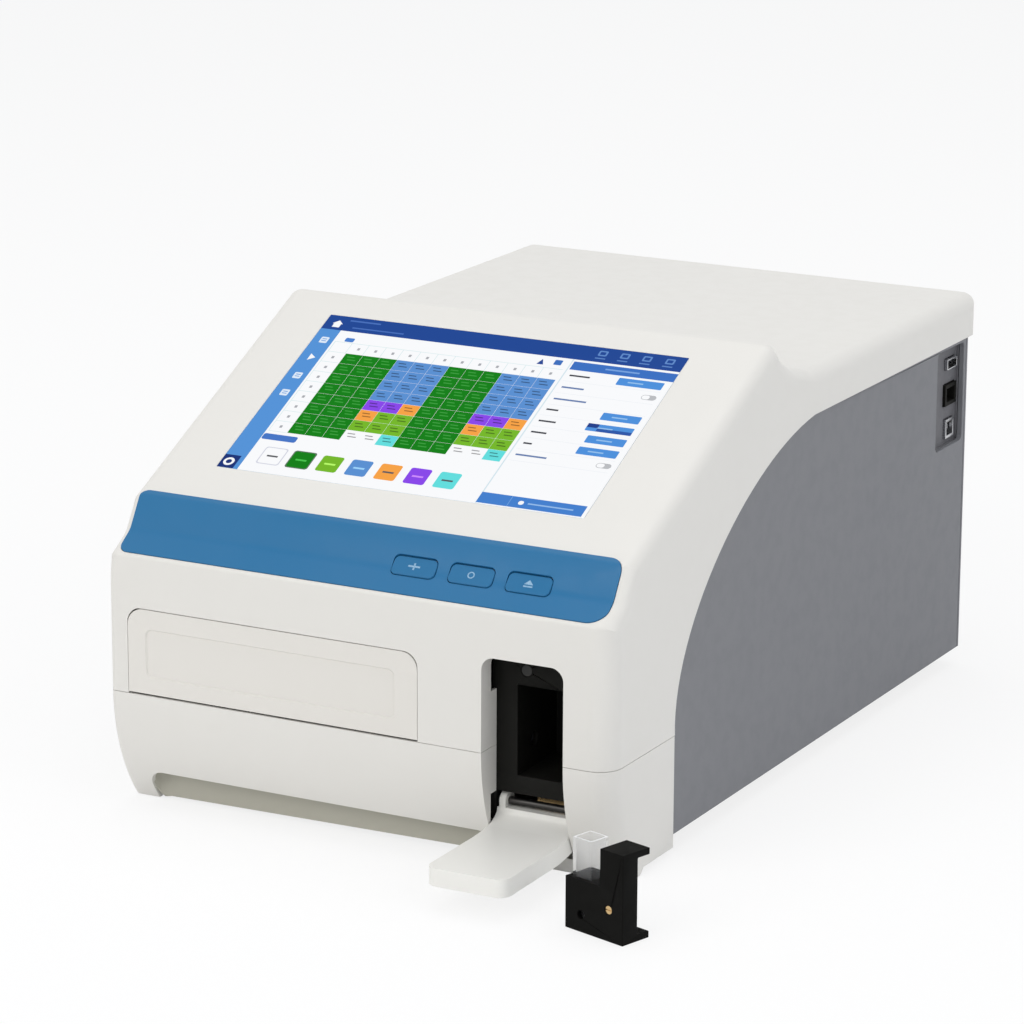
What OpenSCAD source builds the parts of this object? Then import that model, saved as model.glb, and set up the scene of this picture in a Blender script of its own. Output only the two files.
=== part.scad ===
// Benchtop microplate reader: a white hood and front shell over a steel tray, a touch screen on
// a sloping console, a motorised plate carrier behind a flap, a cuvette port with a drop-down
// door, and a loose cuvette holder that stands on the bench beside it.
// Millimetres. X points right, Y to the rear, Z up. The origin is on the bench, at the centre of
// the instrument's footprint. Inside the modules, y counts from the front face.

/* [Body] */
// Width over the white side walls
body_w = 295.6; // [290:0.2:360]
// Depth from the front face to the rear edge of the lid
body_d = 468.6; // [460:0.2:570]
// Height of the flat lid above the bench
lid_z = 221.5; // [215:0.5:270]
// Rise of the ridge above the lid
ridge_rise = 25.4; // [20:0.2:32]
// Distance of the ridge behind the front face
ridge_y = 189.5; // [180:0.5:215]
// Height of the seam between front shell and hood
seam_z = 64.3; // [60:0.1:70]
// Height at which the upright front face ends
face_z = 139.5; // [134:0.5:145]
// Wall thickness of the white mouldings
wall = 3.2; // [2.8:0.1:4]
// Depth by which the grey panels lie below the white sides
panel_inset = 1; // [0.6:0.1:2]
// Thickness of the grey panels
panel_t = 3.2; // [2.5:0.1:4]
// Overhang of the lid behind the rear panel
rear_step = 11.2; // [8:0.2:16]
// Gap between neighbouring fixed pieces
gap = 0.3; // [0.2:0.05:0.5]

/* [Plate door] */
// Width of the flap
door_w = 173.6; // [165:0.2:178]
// Height of the flap's top edge above the bench
door_top = 111; // [104:0.5:116]
// Distance of the flap from the left side of the body
door_side = 11.9; // [11:0.1:14]
// Thickness of the flap
door_t = 3; // [2.5:0.1:3.5]
// Radius of the flap's hinge pin
door_pin_r = 1.2; // [1:0.1:1.5]
// Radius of the flap's hinge barrel
door_barrel_r = 2.2; // [2:0.1:2.6]
// Distance of the flap's hinge axis below its top edge
door_axis_drop = 8; // [7:0.5:9]

/* [Cuvette port] */
// Width of the port opening
port_w = 46.4; // [44:0.2:50]
// Distance of the port from the right side of the body
port_side = 26.8; // [24:0.2:30]
// Height of the port's top edge above the bench
port_top = 115; // [112:0.5:122]
// Depth of the port's white reveal
port_depth = 16.5; // [14:0.5:18]
// Thickness of the drop-down door
cdoor_t = 9.5; // [7:0.1:10]
// Hinge axis of the drop-down door, behind the front face
cdoor_y = 21; // [20:0.5:23]
// Hinge axis of the drop-down door, above the bench
cdoor_z = 34; // [32:0.5:36]
// Radius of the drop-down door's hinge pin
cdoor_pin_r = 2; // [1.5:0.1:2.5]
// Width of the cuvette chamber
chamber_w = 25.2; // [22:0.2:28]
// Height of the cuvette chamber
chamber_h = 48; // [46.8:0.2:52]
// Depth of the cuvette chamber
chamber_d = 43; // [40:0.5:60]

/* [Screen and keys] */
// Width of the touch glass
glass_w = 217.2; // [190:0.2:225]
// Height of the touch glass, measured up the console
glass_h = 133.4; // [120:0.2:136]
// Thickness of the touch glass
glass_t = 1.8; // [1:0.1:1.9]
// Sideways offset of the touch glass from the middle
glass_x = -2.7; // [-5:0.1:5]
// Distance of the touch glass from the console's lower edge
glass_s = 24.8; // [22:0.2:28]
// Thickness of the coloured key strip
strip_t = 1.6; // [1.2:0.1:1.8]
// Width of a key
key_w = 25; // [20:0.5:28]
// Length of a key, measured up the strip
key_l = 11; // [9:0.5:12]
// Spacing of the keys
key_pitch = 32.8; // [31:0.2:36]
// Distance of the right key's centre from the right side of the body
key_side = 53.8; // [50:0.2:60]
// Travel of a key
key_travel = 1.2; // [0.8:0.1:1.5]

/* [Plate transport] */
// Length of the microplate that the nest takes
plate_l = 127.76; // [127:0.01:128.5]
// Width of the microplate that the nest takes
plate_wd = 85.48; // [85:0.01:86]
// Travel of the carrier
travel = 250; // [230:1:250]
// Start of the carrier behind the front face
carrier_y = 130; // [130:1:136]
// Height of the carrier's floor above the bench
carrier_z = 67; // [66:0.2:68]
// Spacing of the two carrier rails
rail_pitch = 120; // [110:1:126]
// Radius of a carrier rail
rail_r = 4; // [3:0.5:5]
// Radius of a head rail
head_rail_r = 3; // [2.5:0.5:4]

/* [Cuvette holder] */
// Length of the holder
holder_l = 38.9; // [38:0.1:42]
// Width of the holder
holder_w = 19; // [18.5:0.1:22]
// Height of the holder's handle end
holder_h = 46.4; // [44:0.2:46.6]
// Height of the holder's cuvette block
block_h = 27; // [22:0.5:32]
// Length of the holder's handle end
handle_l = 15.6; // [13:0.1:18]
// Outside width of the cuvette
cuvette_w = 12.5; // [12:0.1:12.7]
// Height of the cuvette
cuvette_h = 45; // [40:0.5:50]
// Radius of the light holes in the holder's faces
holder_hole_r = 2.2; // [1.5:0.1:2.6]
// Turn of the holder on the bench
holder_turn = -17; // [-30:1:0]

/* [Rear and side equipment] */
// Diameter across the fan frame
fan_w = 60; // [40:1:70]
// Number of fan blades
fan_blades = 7; // [5:1:11]
// Radius of a rubber foot
foot_r = 11; // [8:0.5:14]

/* [Hidden] */
$fn = 64;

half_w = body_w / 2;
inner_x = half_w - wall;
panel_x = half_w - panel_inset;
panel_in = panel_x - panel_t;
rear_y = body_d - rear_step;
rear_in = rear_y - 2;
console_y = 28;
console_z = 168;
ridge_z = lid_z + ridge_rise;
console_tilt = atan2(ridge_z - console_z, ridge_y - console_y);
front_r = 13;
side_y = 72.7;
valance_z = 18.8;
foot_z = 0.6;
tray_z = 8;
tray_t = 2;
tray_x = panel_in - gap;

door_x0 = -half_w + door_side;
door_x1 = door_x0 + door_w;
door_mid = (door_x0 + door_x1) / 2;
door_r = 9;
door_axis_z = door_top - door_axis_drop;
door_z0 = seam_z + 0.9;
doorway_gap = 0.5;
doorway_top = door_top + 0.7;
doorway_r = door_r - 0.5;

port_x1 = half_w - port_side;
port_x0 = port_x1 - port_w;
port_r = 7;
collar_depth = 10.5;
strip_z0 = 39.5;
strip_z1 = 94;
liner_y = port_depth + gap;
liner_t = 2.5;
liner_z = cdoor_z + 5.6;
chamber_x0 = port_x1 - 9.3 - chamber_w;
chamber_z = 49.5;
cdoor_x0 = port_x0 + 0.5;
cdoor_x1 = port_x1 - 0.6;
cdoor_arm = 3.5;
cdoor_open = 90;

// the ramp inside the door's foot, as [y, z] from the pin: up its curve and back under it
function cdoor_ramp_at(t) = (1 - t) * (1 - t) * [-11.4, 22] + 2 * t * (1 - t) * [-10.2, 10]
    + t * t * [-5, 5.4];
cdoor_ramp = concat([for (i = [0 : 8]) cdoor_ramp_at(i / 8)],
    [[-2.8, 5], [-2.8, -3], [-9, -3], [-15, 22]]);
cdoor_ramp_inset = 0.4;
window_r = 4;
window_y = liner_y + 18;
window_z = 64;

key_x = half_w - key_side - key_pitch;
key_y = 14.6;
key_z = 151.4;
key_tilt = 45;
key_h = 8;
key_proud = 0.9;

rail_z = 52;
rail_y0 = 12;
rail_y1 = carrier_y + travel + 22;
block_len = 12;
chassis_z = 34;
chassis_t = 4;
chassis_top = chassis_z + chassis_t;
chassis_x0 = door_mid - 87;
chassis_x1 = door_mid + 89;
bearing_r = 7;
bearing_len = 18;
bearing_y = [carrier_y + 145, carrier_y + 233];
nest_side = 9.1;
nest_w = plate_l + 2 * nest_side;
nest_h = 13;
carrier_t = 3;
nest_y = carrier_y + 10;
tail_w = rail_pitch + 20;
carrier_len = travel + 2;
belt_x = door_mid - 41;
belt_w = 6;
belt_t = 1.4;
pulley_r = 6;
belt_z = rail_z;
idler_y = 24;
drive_y = carrier_y + travel + 18;
motor_w = 28;
motor_l = 28;
motor_shaft_r = 2.5;
motor_face_x = belt_x + 7;

head_x = 44;
head_y0 = 100;
head_y1 = 170;
head_z0 = 94;
head_z1 = 130;
head_rail_at = [[110, 124], [162, 108]];
screw_y = 124;
screw_z = 106.5;
beam_y = 150;
beam_z = 122;
bracket_t = 4;
bracket_x0 = chassis_x0 + 2;
bracket_x1 = chassis_x1 - 8;

shelf_x0 = bracket_x1 + 12;
shelf_x1 = shelf_x0 + 94;
shelf_y0 = 72;
shelf_y1 = 300;
shelf_z = 88;
shelf_t = 4;
mono_x0 = shelf_x0 + 28;
mono_x1 = mono_x0 + 64;
mono_y0 = 138;
mono_y1 = 252;
mono_z0 = shelf_z + shelf_t;
mono_h = 50;
grating_x = mono_x0 + 34;
grating_y = beam_y + 34;

bay_y0 = rear_in - 42.4;
bay_y1 = rear_in - 3.4;
bay_z0 = 137;
bay_z1 = 195;
bay_depth = 5.2;
tub_x = panel_x - bay_depth;
port_y = bay_y1 - 9.4;
usb_a_z = 183.9;
ethernet_z = 165.5;
usb_b_z = 145.4;
usb_a_size = [14.6, 6.2];
ethernet_size = [16.2, 12.6];
usb_b_size = [12.2, 11.2];
socket_gap = 0.3;

inlet_x = half_w - 55;
inlet_z = 45;
switch_x = inlet_x - 32;
fan_x = -half_w + 80;
fan_z = 112;
fan_d = 25;

holder_x = half_w + 36.8;
holder_y = -59;
cuvette_x = -37;
cuvette_y = 3.2;
cuvette_floor = 1.3;
cuvette_wall = 1.25;
pocket_gap = 0.35;
holder_screw_x = 5.8 - handle_l;
holder_screw_z = 16.2;
holder_screw_head = 2.1;
holder_screw_r = 1.5;

// Unit vector along v
function unit(v) = v / norm(v);

// Corner q of an outline, between p and s, rounded to radius r
function corner(p, q, s, r, n = 7) = r <= 0 ? [q] :
    let (
        u = unit(p - q),
        v = unit(s - q),
        half = acos(u * v) / 2,
        c = q + unit(u + v) * r / sin(half),
        a = q + u * r / tan(half) - c,
        b = q + v * r / tan(half) - c
    ) [for (i = [0 : n]) c + r * unit(a * (1 - i / n) + b * i / n)];

// Outline whose entries are [x, y, corner radius]
function rounded(pts) = let (k = len(pts)) [
    for (i = [0 : k - 1])
        let (p = pts[(i + k - 1) % k], q = pts[i], s = pts[(i + 1) % k])
        each corner([p.x, p.y], [q.x, q.y], [s.x, s.y], q.z)
];

// Side view of the whole body: lower front curve, face, key strip, console, ridge, lid, rear
lower_r = 105;
lower_a = asin((seam_z - foot_z) / lower_r);
function body_side(foot) = concat(
    [[lower_r * (1 - cos(lower_a)) + 0.4 * (foot_z - foot), foot, 0]],
    [for (i = [8 : -1 : 0]) let (a = lower_a * i / 8)
        [lower_r * (1 - cos(a)), seam_z - lower_r * sin(a), 0]],
    [
        [0, face_z, 3.5],
        [13.6, face_z + 9.8, 13],
        [23.6, console_z - 2, 2.5],
        [console_y, console_z, 3],
        [ridge_y, ridge_z, 7],
        [199.5, lid_z + 14.2, 9],
        [216, lid_z + 5.4, 26],
        [240, lid_z, 24],
        [body_d, lid_z, 6],
        [body_d, foot, 0]
    ]);

// Front edge of the grey side panels: a curve that runs up and back from the seam
edge_from = [side_y, 63.5];
edge_bend = [side_y - 5.2, 123.5];
edge_pull = [157.5, lid_z - 33];
edge_to = [240, lid_z - 24.4];
function edge_at(t) = pow(1 - t, 3) * edge_from + 3 * pow(1 - t, 2) * t * edge_bend
    + 3 * (1 - t) * t * t * edge_pull + pow(t, 3) * edge_to;
panel_edge = [for (i = [0 : 20]) edge_at(i / 20)];

module from_front() translate([0, -body_d / 2, 0]) children();

// Solid with a side-view outline [y, z], from x0 to x1
module side_extrude(x0, x1)
    translate([x0, 0, 0]) rotate([90, 0, 90]) linear_extrude(x1 - x0) children();

// Solid with a front-view outline [x, z], from y0 to y1
module front_extrude(y0, y1)
    translate([0, y1, 0]) rotate([90, 0, 0]) linear_extrude(y1 - y0) children();

module round_rect(x0, y0, x1, y1, r)
    polygon(rounded([[x0, y0, r], [x1, y0, r], [x1, y1, r], [x0, y1, r]]));

module block(p, q) translate(p) cube(q - p);

module x_rod(x0, x1, y, z, r) translate([x0, y, z]) rotate([0, 90, 0]) cylinder(x1 - x0, r = r);

module y_rod(x, y0, y1, z, r) translate([x, y0, z]) rotate([-90, 0, 0]) cylinder(y1 - y0, r = r);

module z_rod(x, y, z0, z1, r) translate([x, y, z0]) cylinder(z1 - z0, r = r);

module on_console() translate([0, console_y, console_z]) rotate([console_tilt, 0, 0]) children();

module on_strip(x) translate([x, key_y, key_z]) rotate([key_tilt, 0, 0]) children();

// Body shape without its openings, inset by d on every side
module body_form(d) intersection() {
    side_extrude(-half_w + d, half_w - d) offset(delta = -d) polygon(rounded(body_side(-90 * sign(d))));
    translate([0, 0, -80]) linear_extrude(ridge_z + 100)
        polygon(rounded([
            [-half_w + d, d, front_r - d], [half_w - d, d, front_r - d],
            [half_w - d, body_d - d, 8 - d], [-half_w + d, body_d - d, 8 - d]
        ]));
}

module body_shell() difference() {
    body_form(0);
    body_form(wall);
}

// Side view of everything behind and below the hood's edge
module behind_edge() polygon(concat(
    [[side_y, -90]], panel_edge, [[body_d + 10, lid_z - 24.4], [body_d + 10, -90]]));

// White frame around the cuvette port, with its opening
module port_collar(z0, z1) difference() {
    intersection() {
        front_extrude(wall - 0.5, port_depth)
            round_rect(port_x0 - wall, -40, port_x1 + wall, port_top + wall, port_r + wall);
        body_form(0.2);
        union() {
            block([port_x0 - 10, 0, z0], [port_x1 + 10, collar_depth, z1]);
            block([port_x0 - 10, 0, max(z0, strip_z0)], [port_x1 + 10, port_depth, min(z1, strip_z1)]);
        }
    }
    port_opening();
}

module port_opening()
    front_extrude(-2, port_depth + 2) round_rect(port_x0, -60, port_x1, port_top, port_r);

module plate_doorway() front_extrude(-2, wall + 8) polygon(rounded([
    [door_x0 - doorway_gap, seam_z - 2, 0], [door_x1 + doorway_gap, seam_z - 2, 0],
    [door_x1 + doorway_gap, doorway_top, doorway_r],
    [door_x0 - doorway_gap, doorway_top, doorway_r]
]));

// Zone of the key strip: d deep below the surface, e wider than the strip on every side
module strip_zone(d, e) intersection() {
    side_extrude(-half_w, half_w) difference() {
        polygon(rounded(body_side(-90)));
        offset(delta = -d) polygon(rounded(body_side(-90)));
    }
    front_extrude(-5, 27.4 + e) round_rect(
        -half_w + 5.8 - e, face_z + 1 - e, half_w - 6.3 + e, console_z + 20, 5 + e);
    block([-half_w, -5, face_z - 5], [half_w, 27.4 + e, console_z + 0.4 + e]);
}

module key_hole(x) on_strip(x)
    translate([0, 0, -20]) linear_extrude(30)
        round_rect(-key_w / 2 - 0.35, -key_l / 2 - 0.35, key_w / 2 + 0.35, key_l / 2 + 0.35, 3.2);

function key_at(i) = key_x + key_pitch * i;

module upper_housing() color([0.9, 0.89, 0.87]) from_front() {
    difference() {
        union() {
            difference() {
                body_shell();
                side_extrude(-half_w - 1, half_w + 1) behind_edge();
                block([-half_w - 1, -5, -80], [half_w + 1, side_y + 1, seam_z]);
                strip_zone(strip_t + 0.2, 0.2);
                on_console() translate([glass_x - glass_w / 2 - 0.2, glass_s - 0.2, -glass_t - 0.2])
                    cube([glass_w + 0.4, glass_h + 0.4, 10]);
                on_console() translate([glass_x - glass_w / 2 + 5, glass_s + 5, -10])
                    cube([glass_w - 10, glass_h - 10, 20]);
                for (i = [-1 : 1]) key_hole(key_at(i));
            }
            port_collar(seam_z, port_top + 20);
            for (x = [door_x0 - doorway_gap - 4, door_x1 + doorway_gap])
                intersection() {
                    block([x, wall - 0.5, door_axis_z - 5], [x + 4, 8, door_axis_z + 5]);
                    body_form(0.2);
                }
        }
        plate_doorway();
        port_opening();
        x_rod(door_x0 - 4.4, door_x1 + 4.4, door_barrel_r, door_axis_z, door_pin_r + 0.05);
    }
}

module front_shell() color([0.87, 0.85, 0.82]) from_front() difference() {
    union() {
        intersection() {
            body_shell();
            side_extrude(-half_w - 1, half_w + 1) polygon([
                [-2, foot_z], [33, foot_z], [37, 4], [side_y - gap, 4],
                [side_y - gap, seam_z - gap], [-2, seam_z - gap]
            ]);
        }
        port_collar(valance_z - 6, seam_z - gap);
    }
    front_extrude(-5, 40) polygon(rounded([
        [-half_w + 16, -20, 0], [port_x0 - 2.5, -20, 0],
        [port_x0 - 2.5, valance_z, 5], [-half_w + 16, valance_z, 9]
    ]));
    port_opening();
}

module side_panel_outline() offset(delta = -gap) difference() {
    polygon(concat([[side_y, 10 - gap]], panel_edge,
        [[rear_in, lid_z - 24.4], [rear_in, 10 - gap]]));
}

module left_side_panel() color([0.49, 0.5, 0.51]) from_front()
    side_extrude(-panel_x, -panel_in) side_panel_outline();

module right_side_panel() color([0.49, 0.5, 0.51]) from_front()
    side_extrude(panel_in, panel_x) difference() {
        side_panel_outline();
        round_rect(bay_y0, bay_z0, bay_y1, bay_z1, 3);
    }

module rear_panel() color([0.49, 0.5, 0.51]) from_front() difference() {
    union() {
        block([-panel_x, rear_in, 10], [panel_x, rear_y, lid_z - 24.4 - gap]);
        block([-inner_x + 2, rear_in, lid_z - 26], [inner_x - 2, rear_y, lid_z - wall - gap]);
    }
    y_rod(fan_x, rear_in - 1, rear_y + 1, fan_z, fan_w / 2 - 3);
    block([inlet_x - 14, rear_in - 1, inlet_z - 10.5], [inlet_x + 14, rear_y + 1, inlet_z + 10.5]);
    block([switch_x - 10.7, rear_in - 1, inlet_z - 7], [switch_x + 10.7, rear_y + 1, inlet_z + 7]);
}

module base_tray() color([0.6, 0.6, 0.59]) from_front() difference() {
    union() {
        block([-tray_x, 24, tray_z], [tray_x, rear_in - 0.5, tray_z + tray_t]);
        block([-inner_x + 6, 24, 4], [inner_x - 6, 26, 30]);
        for (x = [-tray_x, tray_x - 1.5])
            block([x, side_y, tray_z], [x + 1.5, rear_in - 0.5, 40]);
        block([-tray_x, rear_in - 2, tray_z], [tray_x, rear_in - 0.5, 30]);
        for (x = [chassis_x0 + 8, chassis_x1 - 8], y = [34, 210, rail_y1 - 6])
            z_rod(x, y, tray_z + 1, chassis_z, 5);
        for (x = [shelf_x0 + 5, shelf_x1 - 5], y = [shelf_y0 + 5, shelf_y1 - 5])
            z_rod(x, y, tray_z + 1, shelf_z, 4);
    }
    block([port_x0 - 6, 15, tray_z + tray_t], [port_x1 + 6, 30, 40]);
    for (x = [-60 : 12 : 60]) block([x, 250, tray_z - 1], [x + 5, 290, tray_z + tray_t + 1]);
}

foot_at = [for (x = [-half_w + 36, half_w - 36], y = [60, rear_y - 52]) [x, y]];

module rubber_feet() color([0.1, 0.1, 0.1]) from_front() for (p = foot_at) {
    z_rod(p.x, p.y, 0, tray_z, foot_r);
}

module key_strip() color([0.24, 0.48, 0.67]) from_front() difference() {
    strip_zone(strip_t, 0);
    for (i = [-1 : 1]) key_hole(key_at(i));
}

module key_cap(x) color([0.22, 0.46, 0.66]) from_front() on_strip(x)
    translate([0, 0, key_proud - key_h]) linear_extrude(key_h)
        round_rect(-key_w / 2, -key_l / 2, key_w / 2, key_l / 2, 3);

module key_left() key_cap(key_at(-1));
module key_middle() key_cap(key_at(0));
module key_right() key_cap(key_at(1));

// Printed board with a push switch behind each key, on two posts under the hood
key_board_z = key_proud - key_h - key_travel - 4.4;
module key_board() color([0.1, 0.35, 0.2]) from_front() {
    on_strip(key_x) translate([-key_pitch - 18, -8, key_board_z - 1.6])
        cube([2 * key_pitch + 36, 16, 1.6]);
    for (i = [-1 : 1]) on_strip(key_at(i)) translate([0, 0, key_board_z]) {
        translate([-3, -3, 0]) cube([6, 6, 3.4]);
        cylinder(4.2, r = 1.6);
    }
    for (x = [-key_pitch / 2, key_pitch / 2]) on_strip(key_x + x)
        translate([-2, -2, key_board_z]) cube([4, 4, -key_board_z - wall - 0.9]);
}

module touch_glass() color([0.12, 0.14, 0.2]) from_front() on_console()
    translate([glass_x - glass_w / 2, glass_s, -glass_t - 0.1]) cube([glass_w, glass_h, glass_t]);

module display_module() color([0.25, 0.25, 0.27]) from_front() on_console()
    translate([glass_x - glass_w / 2 + 1, glass_s + 1, -wall - 8.4])
        cube([glass_w - 2, glass_h - 2, 8]);

module display_bracket() color([0.7, 0.7, 0.7]) from_front() on_console() {
    translate([glass_x - glass_w / 2 - 6, glass_s + 10, -wall - 10.2])
        cube([glass_w + 12, glass_h - 20, 1.6]);
    for (x = [-glass_w / 2 - 6, glass_w / 2 + 1.5], s = [20, glass_h - 30])
        translate([glass_x + x, glass_s + s, -wall - 9]) cube([4.5, 10, 8.7]);
}

module plate_door() color([0.87, 0.86, 0.83]) from_front() difference() {
    intersection() {
        side_extrude(door_x0, door_x1) union() {
            translate([0, door_z0]) square([door_t, door_top - door_z0]);
            translate([door_barrel_r, door_axis_z]) circle(door_barrel_r);
        }
        front_extrude(-1, 10) polygon(rounded([
            [door_x0, door_z0, 0], [door_x1, door_z0, 0],
            [door_x1, door_top, door_r], [door_x0, door_top, door_r]
        ]));
    }
    front_extrude(-1, 0.9) round_rect(door_x0 + 11.4, seam_z + 10.4, door_x1 - 14, door_top - 11, 3.5);
    x_rod(door_x0 - 1, door_x1 + 1, door_barrel_r, door_axis_z, door_pin_r + 0.06);
}

module plate_door_pin() color("silver") from_front()
    x_rod(door_x0 - 4.2, door_x1 + 4.2, door_barrel_r, door_axis_z, door_pin_r);

module cuvette_port_liner() color([0.06, 0.06, 0.06]) from_front() difference() {
    union() {
        block([port_x0 - 2.6, liner_y, liner_z], [port_x1 + 2.6, liner_y + liner_t, port_top + 3]);
        block([chamber_x0 - 2.5, liner_y, chamber_z - 2.5],
            [chamber_x0 + chamber_w + 2.5, liner_y + chamber_d + 2.5, chamber_z + chamber_h + 2.5]);
        for (x = [port_x0 - 3.4, port_x1 + 0.2])
            block([x, liner_y, cdoor_z - 10], [x + 3.2, liner_y + 11, liner_z + 10]);
    }
    block([chamber_x0, liner_y - 1, chamber_z],
        [chamber_x0 + chamber_w, liner_y + chamber_d, chamber_z + chamber_h]);
    x_rod(port_x0 - 3, port_x1 + 3, cdoor_y, cdoor_z, cdoor_pin_r + 0.05);
    x_rod(chamber_x0 - 5, chamber_x0 + chamber_w + 5, window_y, window_z, window_r);
    y_rod(chamber_x0 + 5, liner_y - 1, liner_y + 1.6, chamber_z + chamber_h + 8, 3.1);
}

module door_magnet() color([0.3, 0.3, 0.32]) from_front()
    y_rod(chamber_x0 + 5, liner_y + 0.2, liner_y + 1.6, chamber_z + chamber_h + 8, 3);

module door_catch_spring() color([0.75, 0.66, 0.5]) from_front() {
    block([chamber_x0 + 6, cdoor_y + 6.6, cdoor_z - 4.5],
        [chamber_x0 + chamber_w - 2, cdoor_y + 7.4, chamber_z - 2.6]);
}

// Block beside the chamber, from x0 to x1, with a light bore from b0 to b1
module optic_block(x0, x1, b0, b1) difference() {
    block([x0, window_y - 12, window_z - 12], [x1, window_y + 12, window_z + 12]);
    x_rod(b0, b1, window_y, window_z, window_r);
}

module cuvette_light_block() color([0.2, 0.2, 0.22]) from_front()
    optic_block(chamber_x0 - 22.8, chamber_x0 - 2.8, chamber_x0 - 18, chamber_x0 - 2);

module cuvette_detector() color([0.2, 0.2, 0.22]) from_front()
    translate([chamber_x0 + chamber_w, 0, 0]) optic_block(2.8, 14.8, 2, 11);

// The drop-down door as it closes the port; its lower part follows the front shell's curve
module closed_cuvette_door() difference() {
    union() {
        intersection() {
            side_extrude(cdoor_x0, cdoor_x1) difference() {
                polygon(rounded(body_side(-90)));
                offset(delta = -cdoor_t) polygon(rounded(body_side(-90)));
            }
            front_extrude(-5, 60)
                round_rect(cdoor_x0, cdoor_z - 5, cdoor_x1, port_top - 0.5, port_r - 0.6);
        }
        for (x = [cdoor_x0 + 1.5, cdoor_x1 - 1.5 - cdoor_arm]) {
            x_rod(x, x + cdoor_arm, cdoor_y, cdoor_z, 5);
            block([x, 8, cdoor_z - 3.5], [x + cdoor_arm, cdoor_y, cdoor_z + 5]);
        }
        side_extrude(cdoor_x0 + cdoor_ramp_inset, cdoor_x1 - cdoor_ramp_inset)
            translate([cdoor_y, cdoor_z]) polygon(cdoor_ramp);
    }
    x_rod(cdoor_x0 - 1, cdoor_x1 + 1, cdoor_y, cdoor_z, cdoor_pin_r + 0.06);
}

module cuvette_door() color([0.93, 0.93, 0.92]) from_front()
    translate([0, cdoor_y, cdoor_z]) rotate([cdoor_open, 0, 0])
        translate([0, -cdoor_y, -cdoor_z]) closed_cuvette_door();

module cuvette_door_pin() color("silver") from_front()
    x_rod(port_x0 - 2.8, port_x1 + 2.8, cdoor_y, cdoor_z, cdoor_pin_r);

module interface_tub() color([0.2, 0.2, 0.21]) from_front() difference() {
    block([tub_x - 1.5, bay_y0 - 1.5, bay_z0 - 1.5], [panel_in - gap, bay_y1 + 1.5, bay_z1 + 1.5]);
    block([tub_x, bay_y0, bay_z0], [panel_x, bay_y1, bay_z1]);
    socket_way(usb_a_z, usb_a_size);
    socket_way(ethernet_z, ethernet_size);
    socket_way(usb_b_z, usb_b_size);
}

// Hole in the tub's floor for a socket of that outer size [y, z]
module socket_way(z, outer)
    block([tub_x - 3, port_y - outer.x / 2 - socket_gap, z - outer.y / 2 - socket_gap],
        [tub_x + 1, port_y + outer.x / 2 + socket_gap, z + outer.y / 2 + socket_gap]);

// Socket in the bay: outer size [y, z], mouth size [y, z], standing forward of the tub's floor
module socket(z, outer, mouth, deep, proud) difference() {
    block([tub_x - 20, port_y - outer.x / 2, z - outer.y / 2],
        [tub_x + proud, port_y + outer.x / 2, z + outer.y / 2]);
    block([tub_x + proud - deep, port_y - mouth.x / 2, z - mouth.y / 2],
        [tub_x + proud + 1, port_y + mouth.x / 2, z + mouth.y / 2]);
}

module usb_a_port() color([0.8, 0.8, 0.8]) from_front() {
    socket(usb_a_z, usb_a_size, [12.6, 4.9], 11, 2);
    block([tub_x - 9.5, port_y - 5.2, usb_a_z + 0.5], [tub_x - 0.5, port_y + 5.2, usb_a_z + 2.1]);
}

module ethernet_port() color([0.15, 0.15, 0.16]) from_front()
    socket(ethernet_z, ethernet_size, [11.8, 8], 12, 1.5);

module usb_b_port() color([0.75, 0.75, 0.75]) from_front() {
    socket(usb_b_z, usb_b_size, [8.6, 7.8], 10, 1.5);
    block([tub_x - 9, port_y - 2.8, usb_b_z - 1.4], [tub_x - 1, port_y + 2.8, usb_b_z + 1.4]);
}

module interface_board() color([0.1, 0.35, 0.2]) from_front()
    block([tub_x - 21.6, bay_y0 + 2, bay_z0 - 2], [tub_x - 20, bay_y1 - 2, bay_z1 - 6]);

module power_inlet() color([0.08, 0.08, 0.08]) from_front() {
    difference() {
        union() {
            block([inlet_x - 13.7, rear_y - 24, inlet_z - 10.2],
                [inlet_x + 13.7, rear_y, inlet_z + 10.2]);
            block([inlet_x - 15.5, rear_y, inlet_z - 12], [inlet_x + 15.5, rear_y + 2, inlet_z + 12]);
        }
        block([inlet_x - 12, rear_y - 14, inlet_z - 8], [inlet_x + 12, rear_y + 3, inlet_z + 8]);
    }
    for (p = [[-7, -2], [0, 2.5], [7, -2]])
        block([inlet_x + p.x - 1, rear_y - 15, inlet_z + p.y - 2],
            [inlet_x + p.x + 1, rear_y - 2, inlet_z + p.y + 2]);
}

rocker_axis_y = rear_y - 2;
module power_switch_housing() color([0.08, 0.08, 0.08]) from_front() difference() {
    union() {
        block([switch_x - 10.5, rear_y - 18, inlet_z - 6.8], [switch_x + 10.5, rear_y, inlet_z + 6.8]);
        block([switch_x - 12, rear_y, inlet_z - 8], [switch_x + 12, rear_y + 1.2, inlet_z + 8]);
    }
    block([switch_x - 9.3, rear_y - 9, inlet_z - 5.3], [switch_x + 9.3, rear_y + 3, inlet_z + 5.3]);
    z_rod(switch_x, rocker_axis_y, inlet_z - 6.4, inlet_z + 6.4, 1.05);
}

// Rocker: rests with its right half pressed in
module power_rocker() color([0.12, 0.12, 0.12]) from_front()
    translate([switch_x, rocker_axis_y, inlet_z]) rotate([0, 0, -8]) {
        z_rod(0, 0, -6.3, 6.3, 1);
        linear_extrude(10, center = true) polygon([
            [-8.6, 2.6], [-1, 3.4], [0, 3.2], [1, 3.4], [8.6, 2.6], [8.2, 0], [3, -3], [-3, -3], [-8.2, 0]
        ]);
    }

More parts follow.
